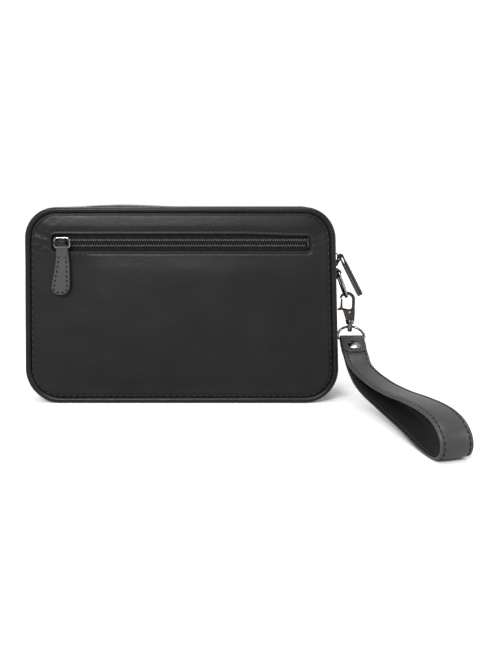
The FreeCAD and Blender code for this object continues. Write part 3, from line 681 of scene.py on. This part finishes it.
def gusset_skin():
    """From tab to tab under the bag, soft at its sides and flat on the ground."""
    s = np.arange(S_LEFT - RIM_L, S_RIGHT + 0.5, 1.4)
    s[-1] = S_RIGHT
    z = rim_at(s)[0][:, 1:]
    t = np.sin(np.linspace(-1, 1, 45) * pi / 2)
    edge = seam_y(z, EDGE_INSET)
    ys = edge * t
    near = edge - np.abs(ys)
    soft = 0.35 * grid_ripple(s, ys, 26, 21) + 0.12 * grid_ripple(s, ys, 9, 22, (1, 0.5, 1))
    outs = FACE_OUT - 1.5 * gauss(near, 1.1) + 0.1 * gauss(near - 3.0, 1.2)
    outs += ease((68 - z) / 12) * ease((z - 6) / 20) * (0.7 * (1 - t ** 2) + soft)
    ground = ease((4.5 - z) / 2)
    outs = outs * (1 - ground) + np.minimum(outs + 0.5, 1.96) * ground
    return slab(over_rim(s, ys, outs), over_rim(s, ys, outs - 1.3))


def strip_skin(side):
    """The leather beside the main zip, its edge folded under and sewn."""
    s = np.arange(S_RIGHT + 0.3, S_LEFT - 0.3, 1.3)
    p = rim_at(s)[0]
    edge = seam_y(p[:, 1:], EDGE_INSET)
    t = np.array([0, .02, .06, .12, .2, .3, .4, .5, .6, .68, .75, .8, .84, .88, .92, .95, .975, 1])
    ys = edge + (STRIP_EDGE - edge) * t
    seam_gap, zip_gap = edge - ys, ys - STRIP_EDGE
    wave = grid_ripple(s, ys * side, 17, 31 + side, (1, 0.6, 1))
    outs = FACE_OUT - 1.4 * gauss(seam_gap, 1.0) - 0.5 * gauss(zip_gap, 0.35)
    outs += 0.12 * gauss(zip_gap - 0.9, 0.6) - 0.16 * gauss(zip_gap - 1.9, 0.4)
    outs += ease(seam_gap / 4) * (lift(p) + 0.22 * wave * ease(zip_gap / 3))
    return slab(over_rim(s, ys * side, outs), over_rim(s, ys * side, outs - 1.35))


def main_line(s, out):
    """Points and outward normals over the middle of the main zip, in 3-D."""
    p, n = rim_at(s)
    return upright(p + n * (out + lift(p)), 0.0), upright(n, 0.0)


def tape_band(s, y0, y1):
    """Zip tape: a thin strip, lying inside the leather."""
    base, up = main_line(s, -0.22)
    face = base[:, None] + Y_WAY * np.linspace(y0, y1, 7)[None, :, None]
    return slab(face, face - up[:, None] * TAPE_THICK)


# --- zip coils
def coil(base, along, side, up):
    """Teeth of one coil. base lies on the tape in the middle of the chain."""
    v = np.array([-0.42, -0.3, 0.05, 0.5, 1.2, 2.1, 2.7, 2.98, 3.05])
    wide = np.array([0.12, 0.3, 0.37, 0.33, 0.33, 0.33, 0.33, 0.24, 0.08])
    high = np.array([0.15, 0.42, 0.56, 0.56, 0.56, 0.56, 0.54, 0.4, 0.15])
    slope = np.linspace(-0.1, 0.16, 9)
    local = [(cos(a) * wide[k] + slope[k], v[k], 0.66 + sin(a) * high[k])
             for k in range(9) for a in circle(8)]
    return repeated(np.array(local), 9, 8, base, (along, side, up))


def chain_thread(base, side, up):
    """Sewing thread over the teeth of one coil, swaying from tooth to tooth and dipping between."""
    steps = 6
    s = arc_length(base)
    fine = np.linspace(0, s[-1], (len(base) - 1) * steps + 1)
    base, side, up = [sampled(fine, s, np.broadcast_to(rows, base.shape))
                      for rows in (base, side, up)]
    tooth = np.arange(len(fine)) / steps
    sway = 1.2 + 2.2 * np.abs((tooth + 0.5) % 1 - 0.5)
    bob = 1.1 + 0.08 * np.cos(tooth * 2 * pi)
    centre = base + side * sway[:, None] + up * bob[:, None]
    ring = [centre + side * cos(a) * 0.27 + up * sin(a) * 0.17 for a in circle(6)]
    return loft(np.stack(ring, 1))


def zip_half(zip_name, word, body, base, along, side, up):
    """One coil and the row of thread that holds it on its tape."""
    start = zip_name + "_coil_"
    piece(start + "teeth_" + word, coil(base, along, side, up), body, COIL,
          [start + word])
    # This thread's light grey is the coil's painted highlight.
    piece(start + "thread_" + word, chain_thread(base, side, up), body, CHAIN_THREAD_PAINTED_HIGHLIGHT)


# --- folded leather
LEAF = 30.6              # length of a puller's leaf below its wire
LEAF_R, LEAF_NECK, LEAF_TIP = 5.2, 3.8, 5.9


def folded(path, thick, half, centre, groove, origin, u, v, w):
    """A strip folded along a path in the v-w plane. thick, half, centre and groove run along it."""
    path = path[::-1]
    thick, half, centre, groove = [np.broadcast_to(value, len(path))[::-1, None]
                                   for value in (thick, half, centre, groove)]
    t = tangents(path)
    n = cols(-t[:, 1], t[:, 0])
    share = np.array([-1, -.985, -.95, -.88, -.8, -.74, -.68, -.5, -.25, 0,
                      .25, .5, .68, .74, .8, .88, .95, .985, 1])
    rim = half - np.abs(share * half)
    level = thick / 2 - 0.3 * thick * gauss(rim, 0.28)
    level = level - groove * gauss(rim - 1.5, 0.4) + 0.05 * gauss(rim - 3.4, 1.4)
    under = -thick / 2 + 0.22 * thick * gauss(rim, 0.22)
    across = origin + (share * half + centre)[..., None] * u
    sides = []
    for rise in (level, under):
        at = path[:, None] + n[:, None] * rise[..., None]
        sides.append(across + at[..., :1] * v + at[..., 1:] * w)
    return slab(*sides)


def leaf_stations(reach, radius, nearest, count):
    """Distances from a leaf's round tip back to the wire."""
    tip = reach - radius * (1 - np.cos(np.linspace(0, 1, 10) * pi / 2))
    return np.concatenate([tip, np.linspace(reach - radius, nearest, count)[1:]])


def tip_cut(y, reach, radius):
    """How much narrower a leaf is at distance y, because its tip is round."""
    left = np.clip(reach - y, 0, radius)
    return radius - np.sqrt(np.maximum(radius ** 2 - (radius - left) ** 2, 0))


def over_wire(front, radius, spare, count):
    """The side view of a strip: down its front leaf, over the wire and down the back."""
    turn = np.linspace(-spare, pi + spare, count)
    fold = cols(np.sin(turn), np.cos(turn)) * radius
    return np.concatenate([front, fold, front[::-1] * np.array([1, -1])])


def seam_both_faces(name, body, slot, line, origin, u, v, w, rise, *size):
    """Dark stitches along a line in the u-v plane, on the w face and on the opposite one."""
    rows = [stitch_line(origin + line[:, :1] * u + line[:, 1:] * v + rise * face, face, *size)
            for face in (w, -w)]
    piece(name, joined(rows), body, DARK_THREAD)


def blade_width(y):
    """Half width of a puller's leaf at distance y below its wire."""
    run = np.clip((y - 5.0) / (LEAF - 5.0), 0, 1)
    half = LEAF_NECK + (LEAF_TIP - LEAF_NECK) * np.minimum(run * 1.25, 1) ** 0.9
    return np.maximum(half - tip_cut(y, LEAF, LEAF_R), 0.6)


def puller(node, u, v, w, drift, plump):
    """One strip folded over the wire, sewn round its edge. drift bends it, plump thickens it."""
    origin = np.array(JOINTS[node + "_hinge"]["pos_m"]) * 1000
    body, name = node + "_body", node + "_leather"
    down = leaf_stations(LEAF, LEAF_R, 3.2, 22)
    leaf = 0.62 * plump + (1.02 - 0.62 * plump) * ease((8 - down) / 5)
    path = over_wire(cols(-down, leaf), 1.16, 0.35, 15)
    below = np.clip(-path[:, 0], 0, LEAF)
    half = np.where(below < 2.7, LEAF_NECK - 0.4, blade_width(below))
    thick = 0.9 + (1.18 * plump - 0.9) * ease((below - 3) / 5)
    groove = np.where(below > 5, 0.17, 0.0)
    centre = drift * ease((below - 7) / (LEAF - 7))
    shape = folded(path, thick, half, centre, groove, origin, u, v, w)
    piece(name, shape, body, PULL, [node], strip=True)

    tip_r, tip_y = 3.7, LEAF - LEAF_R
    ys = np.concatenate([np.linspace(4.6, LEAF - 4.6, 20),
                         LEAF - 1.5 - 3.1 * (1 - np.sin(np.linspace(0.05, 1, 9) * pi / 2))])
    span = np.where(ys > tip_y,
                    tip_r * np.sqrt(np.clip(1 - ((ys - tip_y) / tip_r) ** 2, 0, 1)) + 1.1,
                    np.maximum(blade_width(ys) - 1.7, 0.0))
    x = drift * ease((ys - 7) / (LEAF - 7))
    line = np.concatenate([cols(x + span, -ys), cols(x - span, -ys)[::-1]])
    seam_both_faces(name + "_stitches", body, "puller_leather", resample(line, 0.8), origin,
                    u, v, w, 1.14 * plump, SMALL_STITCH, 0.62, 0.27, 0.2)


# --- panels, gusset and strips
for side, body, word in ((-1, "bag", "pocket"), (1, "plain_side", "plain")):
    piece(word + "_panel_skin", panel_skin(side), body, BLACK,
          [word + "_panel"], repair=False)
    piece(word + "_piping_roll", piping(side), body, PIPE, [word + "_piping"])
    line, up = surface_line(outline(BORDER_SEAM, 1.5)[0], side, 0.02)
    piece(word + "_panel_stitches", stitch_line(line, up, STITCH, 0.26, 0.2, closed=True), body,
          THREAD)
    piece(f"zip_strip_skin_{word}_side", strip_skin(side), body, BLACK,
          [f"zip_strip_{word}_side"])
    base, up = main_line(np.arange(S_RIGHT + 1.2, S_LEFT - 1.2, 1.2), 1.27)
    base[:, 1] = side * (STRIP_EDGE + 1.9)
    piece(f"zip_strip_stitches_{word}_side", stitch_line(base, up, FINE_STITCH, 0.25, 0.2), body,
          THREAD)

line, up = surface_line(window_loop(WINDOW_SEAM, 1.2), -1, 0.04)
piece("window_stitches", stitch_line(line, up, FINE_STITCH, 0.24, 0.2, closed=True), "bag",
      THREAD)

gusset = piece("gusset_skin", gusset_skin(), None, BLACK, ["gusset"])
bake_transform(gusset)

# --- the two zips
S_FIRST, S_JOINED, S_LAST = rim_s(1, 87.6), rim_s(1, JOINED_TOP), rim_s(-1, 87.0)
for word, body, side, reach, first, last in (
        ("pocket_side", "bag", -1, 11.4, S_FIRST, S_LAST),
        ("joined_end", "bag", 1, 5.4, S_FIRST, S_JOINED - 0.4),
        ("plain_side", "plain_side", 1, 11.4, S_JOINED + 0.3, S_LAST)):
    tape = tape_band(np.arange(first - 0.8, last + 0.4, 1.5), side * 0.5, side * reach)
    piece("main_tape_weave_" + word, tape, body, TAPE, ["main_tape_" + word])
    base, up = main_line(np.arange(first + (PITCH / 2 if side > 0 else 0), last, PITCH), -0.2)
    zip_half("main", word, body, base, tangents(base), Y_WAY * side, up)

for word, side in (("upper", 1), ("lower", -1)):
    z = POCKET_ZIP_Z + side * np.linspace(0.45, 11.4, 9)
    xs = np.linspace(-92, 92, 60)[:, None]
    wave = 0.06 * np.sin(xs * 0.21) * np.linspace(0, 1, 9)
    face = cols(xs, 0.62 + wave, z)
    points, faces = slab(face, face + Y_WAY * TAPE_THICK)
    piece("pocket_tape_weave_" + word, (lean(points), faces), "bag", TAPE,
          ["pocket_tape_" + word])
    xs = np.arange(WINDOW_X[0] + 0.9 + (PITCH / 2 if side < 0 else 0), WINDOW_X[1] - 2.6, PITCH)
    zip_half("pocket", word, "bag", lean(cols(xs, 0.6, POCKET_ZIP_Z)), X_WAY, PANEL_UP * side,
             PANEL_OUT)


def clip(name, node, u, v, w, size):
    """Small crimped clip: a squarish pebble with a dent across it."""
    low, high = [np.array(c) * 1000 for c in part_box(node)]
    a, b = np.linspace(-pi / 2, pi / 2, 13)[:, None], circle(24)
    grid = cols(np.cos(a) * np.cos(b), np.cos(a) * np.sin(b), np.sin(a))
    grid = np.sign(grid) * np.abs(grid) ** 0.5
    grid[..., 2] -= 0.22 * gauss(grid[..., 1], 0.3) * (grid[..., 2] > 0)
    grid = (low + high) / 2 + (grid * size) @ np.array([u, v, w])
    piece(name, loft(grid), "bag", BLACKED, [node])


clip("pocket_stop_clip", "pocket_zip_stop", X_WAY, PANEL_UP, PANEL_OUT, (1.0, 3.3, 0.9))
tilt = atan((HALF_BOTTOM - HALF_TOP) / HEIGHT)
clip("main_stop_clip", "main_bottom_stop", np.array([-sin(tilt), 0, cos(tilt)]), Y_WAY,
     np.array([cos(tilt), 0, sin(tilt)]), (0.45, 3.3, 0.85))


# --- side tabs
def gusset_points(side, first, last, count, out):
    """(x, z) points out from the gusset's face, between two heights."""
    p, n = rim_at(np.array([rim_s(side, z) for z in np.linspace(first, last, count)]))
    return p + n * (FACE_OUT + out)


def side_tab(word, side, path, thick, seam_top, seam_out):
    """A leather tab on the gusset and its three-sided row of stitches."""
    path = resample(path, 0.7)
    half = TAB_HALF - 0.05 - 0.5 * (1 - ease(np.linspace(0, 1, len(path)) * len(path) / 2.5))
    flat = cols(path[:, 1], path[:, 0] * side)
    shape = folded(flat, thick, half, 0.0, 0.14, np.zeros(3), Y_WAY * -side, Z_WAY, X_WAY * side)
    piece("side_tab_leather_" + word, shape, "bag", BLACK, ["side_tab_" + word],
          strip=True)
    span, low = TAB_HALF - 1.5, 71.0
    line = resample(np.array([(-span, seam_top), (-span, low), (span, low), (span, seam_top)]),
                    0.8)
    p, n = rim_at(np.array([rim_s(side, z) for z in line[:, 1]]))
    seam = stitch_line(upright(p + n * (FACE_OUT + seam_out), line[:, 0]), upright(n, 0.0),
                       SMALL_STITCH, 0.24, 0.2)
    piece("side_tab_stitches_" + word, seam, "bag", THREAD)


side_tab("left", -1, gusset_points(-1, 69.6, 84.9, 24, 0.75), 1.35, 84.0, 1.45)
bar = np.array(JOINTS["side_ring_hinge"]["pos_m"]) * 1000
turn = np.linspace(-0.35, pi + 0.45, 16)
around_bar = bar[[0, 2]] + 1.68 * cols(np.cos(turn), np.sin(turn))
side_tab("right", 1, np.concatenate([gusset_points(1, 69.6, 81.0, 18, 1.2), around_bar,
                                     gusset_points(1, 81.5, 74.0, 10, 0.42)]), 0.85, 80.5, 1.7)


# --- inside
def lining_sheet(side, depth, inset):
    """Cloth lining behind a panel, held at its edge and rippled between."""
    points, faces = flat_skin([outline(i, 3)[0] for i in (inset, inset + 1.2, inset + 3)], [], 4.5)
    gap = distance_to(points, outline(inset, 3)[0])
    three = upright(points, 20.0 * side)
    soft = 0.42 * ripple(three, 21, 41 + side) + 0.25 * ripple(three, 9, 43 + side)
    if side < 0:
        faces = [f[::-1] for f in faces]
    return lean(upright(points, depth + 0.3 + soft * ease(gap / 12)), side), faces


for side, body, word, depth, inset in ((-1, "bag", "pocket_side", 9.65, 4.8),
                                       (1, "plain_side", "plain_side", 1.75, 5.2)):
    sheet = piece("lining_cloth_" + word, lining_sheet(side, depth, inset), body, LINING,
                  [word + "_lining"], repair=False)

s = np.arange(S_LEFT - RIM_L + 0.5, S_RIGHT - 0.5, 3.0)
z = rim_at(s)[0][:, 1:]
y_low, y_high = -seam_y(z, 10.4), seam_y(z, 2.5)
ys = y_low + (y_high - y_low) * np.linspace(0, 1, 17)
grid = over_rim(s, ys, -1.05 + 0.2 * grid_ripple(s, ys, 13, 51))
lining = piece("lining_cloth_gusset", (grid.reshape(-1, 3), grid_faces(*ys.shape)), None, LINING,
               ["gusset_lining"], repair=False)
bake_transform(lining)


def pouch_shape():
    """Cloth pocket bag behind the zip: two faces joined round their edge, open at the zip."""
    edge = rounded_box(-89.6, 89.6, 24.4, 118.6, 6, 4)
    hole = rounded_box(-86.2, 86.6, 100.0, 115.0, 3, 4)
    shapes = []
    for holes, face in (([hole], -1), ([], 1)):
        points, faces = flat_skin([edge], holes, 5.0)
        soft = 0.5 * ripple(upright(points, 30.0 * face), 24, 61 + face)
        bulge = ease(distance_to(points, edge) / 9)
        y = 5.2 + face * 3.5 * bulge + np.where(bulge > 0.5, 0.35 * soft, 0)
        shapes.append((lean(upright(points, y)),
                       faces if face < 0 else [f[::-1] for f in faces]))
    return joined(shapes)


pouch = piece("pouch_cloth", pouch_shape(), "bag", LINING, ["pocket_pouch"],
              repair=False)

# --- pullers
drop = radians(0.8)      # the pocket's puller lies this much nearer the panel
puller("pocket_puller", X_WAY, PANEL_UP * cos(drop) + PANEL_OUT * sin(drop),
       PANEL_OUT * cos(drop) - PANEL_UP * sin(drop), -2.0, 1.0)
hang = radians(27.5)     # the main one swings out this much as it hangs
hang_up = np.array([-sin(hang), 0, cos(hang)])
puller("main_puller", Y_WAY, hang_up, np.cross(Y_WAY, hang_up), 0.0, 1.4)

# --- wrist strap
# Its track on the ground: bearings, in radians to the right, at distances from the swivel.
SWIVEL_X = 115.4
TURNS = np.array([(0, 0.03), (26, 0.03), (38, 0.42), (52, 0.42), (75, 0.30), (160, 0.30)])
HEADING = np.array([sin(TURNS[0, 1]), -cos(TURNS[0, 1]), 0.0])
ACROSS = np.cross(Z_WAY, HEADING)
BAR = np.array(JOINTS["strap_swing"]["pos_m"]) * 1000
BAR_S, BAR_Z = float((BAR - X_WAY * SWIVEL_X) @ HEADING), float(BAR[2])
SLOPE = radians(22.7)    # of the sewn end, downwards
STRAP_SEAM = 2.0         # from the strap's edge to its stitches


def on_clamp(length, rise):
    """Distance, height and roll of a point of the sewn end, down from the ring's bar."""
    return (BAR_S + length * cos(SLOPE) + rise * sin(SLOPE),
            BAR_Z - length * sin(SLOPE) + rise * cos(SLOPE), 0)


# Distance from the swivel, height and roll in degrees, out along the top and back below.
CLAMPED = (4.6, 12.5, 20.5, 23)
ROUTE = [on_clamp(d, 1.1) for d in CLAMPED] + [
    (36, 28.2, 0), (48, 24.0, 0), (64, 21.4, 0), (82, 21.4, 0), (101, 22.8, 0), (120, 23.2, 0),
    (134, 21.0, 0), (142.6, 15.4, 0), (145.0, 8.4, 0), (141.8, 3.0, 0), (133, 1.4, 1),
    (119, 3.9, 8), (104, 7.5, 15), (87, 10.3, 20), (70, 12.5, 20), (54, 15.0, 13), (42, 19.2, 6),
    (34, 25.6, 0)] + [on_clamp(d, -1.1) for d in CLAMPED[::-1]]


def smooth_line(points, steps):
    """A smooth curve through the points."""
    points = np.array(points)
    padded = np.concatenate([points[:1], points, points[-1:]])
    t = (np.arange(steps) / steps)[:, None]
    line = []
    for i in range(len(points) - 1):
        a, b, c, d = padded[i:i + 4]
        line.append(0.5 * (2 * b + (c - a) * t + (2 * a - 5 * b + 4 * c - d) * t ** 2
                           + (3 * b - a - 3 * c + d) * t ** 3))
    return resample(np.concatenate(line + [points[-1:]]), 1.3)


MIDDLE = smooth_line(ROUTE, 12)
AWAY = MIDDLE[:, 0]
HALF = 8.0 + 1.6 * np.clip((AWAY - BAR_S - 18) / 100, 0, 1)
FREE = ease((AWAY - BAR_S - 22) / 14)[:, None]
along = tangents(MIDDLE[:, :2])
step = 0.25
fine = np.arange(0, 160, step)
turning = np.interp(fine + step / 2, *TURNS.T)
track = cols(np.sin(turning), -np.cos(turning)) * step
track = np.concatenate([[[0, 0]], np.cumsum(track, 0)[:-1]]) + [SWIVEL_X, 0]
bearing = np.interp(AWAY, fine, turning)
CENTRE = np.column_stack([sampled(AWAY, fine, track), MIDDLE[:, 1]])
AHEAD = cols(np.sin(bearing), -np.cos(bearing), 0)
SIDEWAYS = np.cross(Z_WAY, AHEAD)
OUTWARDS = Z_WAY * along[:, :1] - AHEAD * along[:, 1:]
ROLL = np.radians(MIDDLE[:, 2:])
WIDTH_WAY = SIDEWAYS * np.cos(ROLL) - OUTWARDS * np.sin(ROLL)
DEPTH_WAY = OUTWARDS * np.cos(ROLL) + SIDEWAYS * np.sin(ROLL)


def strap_points(b, rise):
    """Points off the strap's middle line, b across it and rise out from it."""
    return (CENTRE[:, None] + WIDTH_WAY[:, None] * b[..., None]
            + DEPTH_WAY[:, None] * np.broadcast_to(rise, b.shape)[..., None])


def strap_band(inner, outer, face):
    """One layer of the strap between two offsets from its middle line, grooved at its seams."""
    share = np.array([-1, -.99, -.96, -.9, -.83, -.79, -.75, -.6, -.3, 0,
                      .3, .6, .75, .79, .83, .9, .96, .99, 1])
    b = share[None] * HALF[:, None]
    rim = HALF[:, None] - np.abs(b)
    three = cols(MIDDLE[:, :1], b, MIDDLE[:, 1:2]).reshape(-1, 3)
    wave = ripple(three, 12, 71 + face).reshape(b.shape)
    shown = 0.42 * gauss(rim, 0.32) + 0.42 * gauss(rim - STRAP_SEAM, 0.45)
    shown = shown - FREE * (0.18 * ease((rim - 2.4) / 3) + 0.1 * wave)
    if face > 0:
        outer = outer - shown
    else:
        inner = inner + shown
    return slab(strap_points(b, outer), strap_points(b, inner))


past_fold = slice(int(np.argmax(AWAY > BAR_S + 19)), len(MIDDLE) - 14)
for word, node, face, low, high, look, sewing in (
        ("outer", "strap_outer", 1, -0.1, 1.0, STRAP, DARK_THREAD),
        ("inner", "strap_lining", -1, -1.0, -0.1, INNER, THREAD)):
    piece(f"strap_{word}_leather", strap_band(low, high, face), "strap", look,
          [node], strip=True)
    rows = []
    for edge_side in (-1, 1):
        b = edge_side * (HALF - STRAP_SEAM)[:, None]
        rows.append(stitch_line(strap_points(b, 0.8 * face)[past_fold, 0],
                                DEPTH_WAY[past_fold] * face, FINE_STITCH, 0.36, 0.26, 0.26))
    piece(f"strap_{word}_stitches", joined(rows), "strap", sewing)

# The folded end piece: a strip over the ring's bar with a rounded, sewn end on each face.
FOLD, FOLD_R = 20.0, 6.5
fold_down = HEADING * cos(SLOPE) - Z_WAY * sin(SLOPE)
fold_out = HEADING * sin(SLOPE) + Z_WAY * cos(SLOPE)
down = leaf_stations(FOLD, FOLD_R, 4.2, 14)
path = over_wire(cols(-down, 2.72), 1.62, 0.1, 17)
below = np.clip(-path[:, 0], 0, FOLD)
half = np.maximum(7.95 - tip_cut(below, FOLD, FOLD_R), 0.8)
shape = folded(path, np.where(below > 3.5, 1.2, 1.15), half, 0.0,
               np.where(below > 3.5, 0.2, 0.0), BAR, ACROSS, -fold_down, fold_out)
piece("strap_fold_leather", shape, "strap", STRAP, ["strap_end_fold"],
      strip=True)
tip = [(5.0 * cos(a) + copysign(1.4, cos(a)), FOLD - FOLD_R + 5.0 * sin(a))
       for a in np.linspace(0, pi, 24)]
line = resample(np.array([(6.4, 4.6)] + tip + [(-6.4, 4.6)]), 0.7)
seam_both_faces("strap_fold_stitches", "strap", "strap_leather", line, BAR, ACROSS, fold_down,
                fold_out, 3.28, FINE_STITCH - 0.4, 0.36, 0.26)


# --- metal and boards
def eased(node, body, material, width):
    """The CAD shape with its sharp edges rounded over by width."""
    work = bmesh.new()
    work.from_mesh(frame["nodes"][node].data)
    bmesh.ops.remove_doubles(work, verts=work.verts, dist=2e-6)
    bmesh.ops.dissolve_limit(work, angle_limit=radians(1.5), verts=work.verts, edges=work.edges)

    def sharp(degrees):
        return [e for e in work.edges if len(e.link_faces) == 2
                and e.calc_face_angle(0) > radians(degrees)]

    bmesh.ops.bevel(work, geom=sharp(32), offset=width * 0.001, segments=3, profile=0.6,
                    affect="EDGES", clamp_overlap=True)
    work.normal_update()
    for edge in sharp(38):
        edge.smooth = False
    mesh = bpy.data.meshes.new(node + "_eased")
    work.to_mesh(mesh)
    work.free()
    mesh.polygons.foreach_set("use_smooth", [True] * len(mesh.polygons))
    mesh.materials.append(material)
    obj = put(node + "_eased", mesh)
    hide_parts(node)
    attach(obj, body)


# A bright rolled ring round the hook's foot, above the swivel's own flange.
rise = np.linspace(-pi / 2, pi / 2, 11)
reach = np.concatenate([2.85 + 0.35 * np.cos(rise), [2.6, 2.6]])
level = np.concatenate([51.95 + 0.62 * np.sin(rise), [52.5, 51.4]])
turn = circle(36)[:, None]
collar = cols(SWIVEL_X + reach * np.cos(turn), reach * np.sin(turn), level)
piece("hook_collar_ring", (collar.reshape(-1, 3), grid_faces(36, len(reach), True, True)), "hook",
      NICKEL)

CAST, WIRE = 0.22, 0.06    # how far the edges of castings and of round wire are eased
# The swivel and the strap ring take the nickel with the darkest painted reflection.
for node, body, material, width in (
        ("pocket_slider", "pocket_slider_body", GUN, CAST),
        ("main_slider", "main_slider_body", GUN, CAST),
        ("hook_body", "hook", GUN, 0.3),
        ("hook_gate", "gate", GUN, 0.15),
        ("hook_swivel", "swivel", NICKEL_PAINTED_DARK, 0.2),
        ("pocket_bail", "pocket_bail_body", NICKEL, WIRE),
        ("main_bail", "main_bail_body", GUN, WIRE),
        ("side_ring", "side_ring_body", NICKEL, WIRE),
        ("strap_ring", "strap_ring_body", NICKEL_PAINTED_DARK, WIRE),
        ("strap_rivet_cap", "strap", NICKEL, WIRE)):
    eased(node, body, material, width)
for node, material in (("gate_pin", NICKEL), ("strap_rivet_post", NICKEL),
                       ("pocket_side_board", FIBRE), ("plain_side_board", FIBRE),
                       ("base_board", FIBRE)):
    mesh = frame["nodes"][node].data
    mesh.materials.clear()
    mesh.materials.append(material)


# --- the studio, in metres
def floor_finish():
    """Pale grey under the bag, growing to the background's white further out."""
    n = Nodes("studio_floor")
    nearer = n.add("Mapping", "Vector", Vector=n.place, Scale=(0.6, 0.6, 0.6))
    away = n.add("VectorMath", "Value", operation="LENGTH", Vector=nearer)
    return n.finish(Base_Color=n.ramp(away, 0.62, 0.965, (0.2, 0.75)), Roughness=0.8,
                    Specular_IOR_Level=0.0)


def aimed(name, data, place, aim):
    """A lamp or camera that looks from a place to a point."""
    obj = put(name, data)
    obj.location = place
    obj.rotation_euler = (Vector(aim) - Vector(place)).to_track_quat("-Z", "Y").to_euler()
    return obj


ground = bpy.data.meshes.new("studio_ground")
verts = [(r * cos(a), r * sin(a), -0.00005)
         for r in (0.0001, 0.2, 0.5, 1.0, 2.0, 4.0) for a in circle(48)]
ground.from_pydata(verts, [], grid_faces(6, 48, False, True))
ground.materials.append(floor_finish())
floor = put("studio_ground", ground)
floor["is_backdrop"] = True

for name, place, aim, size_x, size_y, power in (
        ("key_light", (-0.3, -1.05, 0.8), (0.0, 0, 0.07), 0.5, 0.3, 22),
        ("top_light", (0.1, -0.25, 1.2), (0.03, 0, 0.06), 0.8, 0.35, 9),
        ("side_light", (1.15, -0.35, 0.55), (0.06, 0, 0.06), 0.3, 0.5, 5),
        ("back_light", (-0.5, 1.1, 0.85), (0.0, 0, 0.08), 0.6, 0.5, 8)):
    light = bpy.data.lights.new(name, "AREA")
    light.shape = "RECTANGLE"
    light.size, light.size_y, light.energy = size_x, size_y, power
    aimed(name, light, place, aim)

world = bpy.data.worlds.new("studio")
world.use_nodes = True
world.node_tree.nodes["Background"].inputs["Color"].default_value = (1, 1, 1, 1)
world.node_tree.nodes["Background"].inputs["Strength"].default_value = 1.04
bpy.context.scene.world = world
bpy.context.scene.view_settings.view_transform = "Standard"

camera = bpy.data.cameras.new("camera")
camera.lens, camera.sensor_width = 38.75, 36.0
VIEW_AIM, VIEW_AWAY, VIEW_RISE = Vector((0.0457, -0.024, 0.0468)), 0.48, radians(10.8)
eye = VIEW_AIM + VIEW_AWAY * Vector((0, -cos(VIEW_RISE), sin(VIEW_RISE)))
bpy.context.scene.camera = aimed("camera", camera, eye, VIEW_AIM)

low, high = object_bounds()
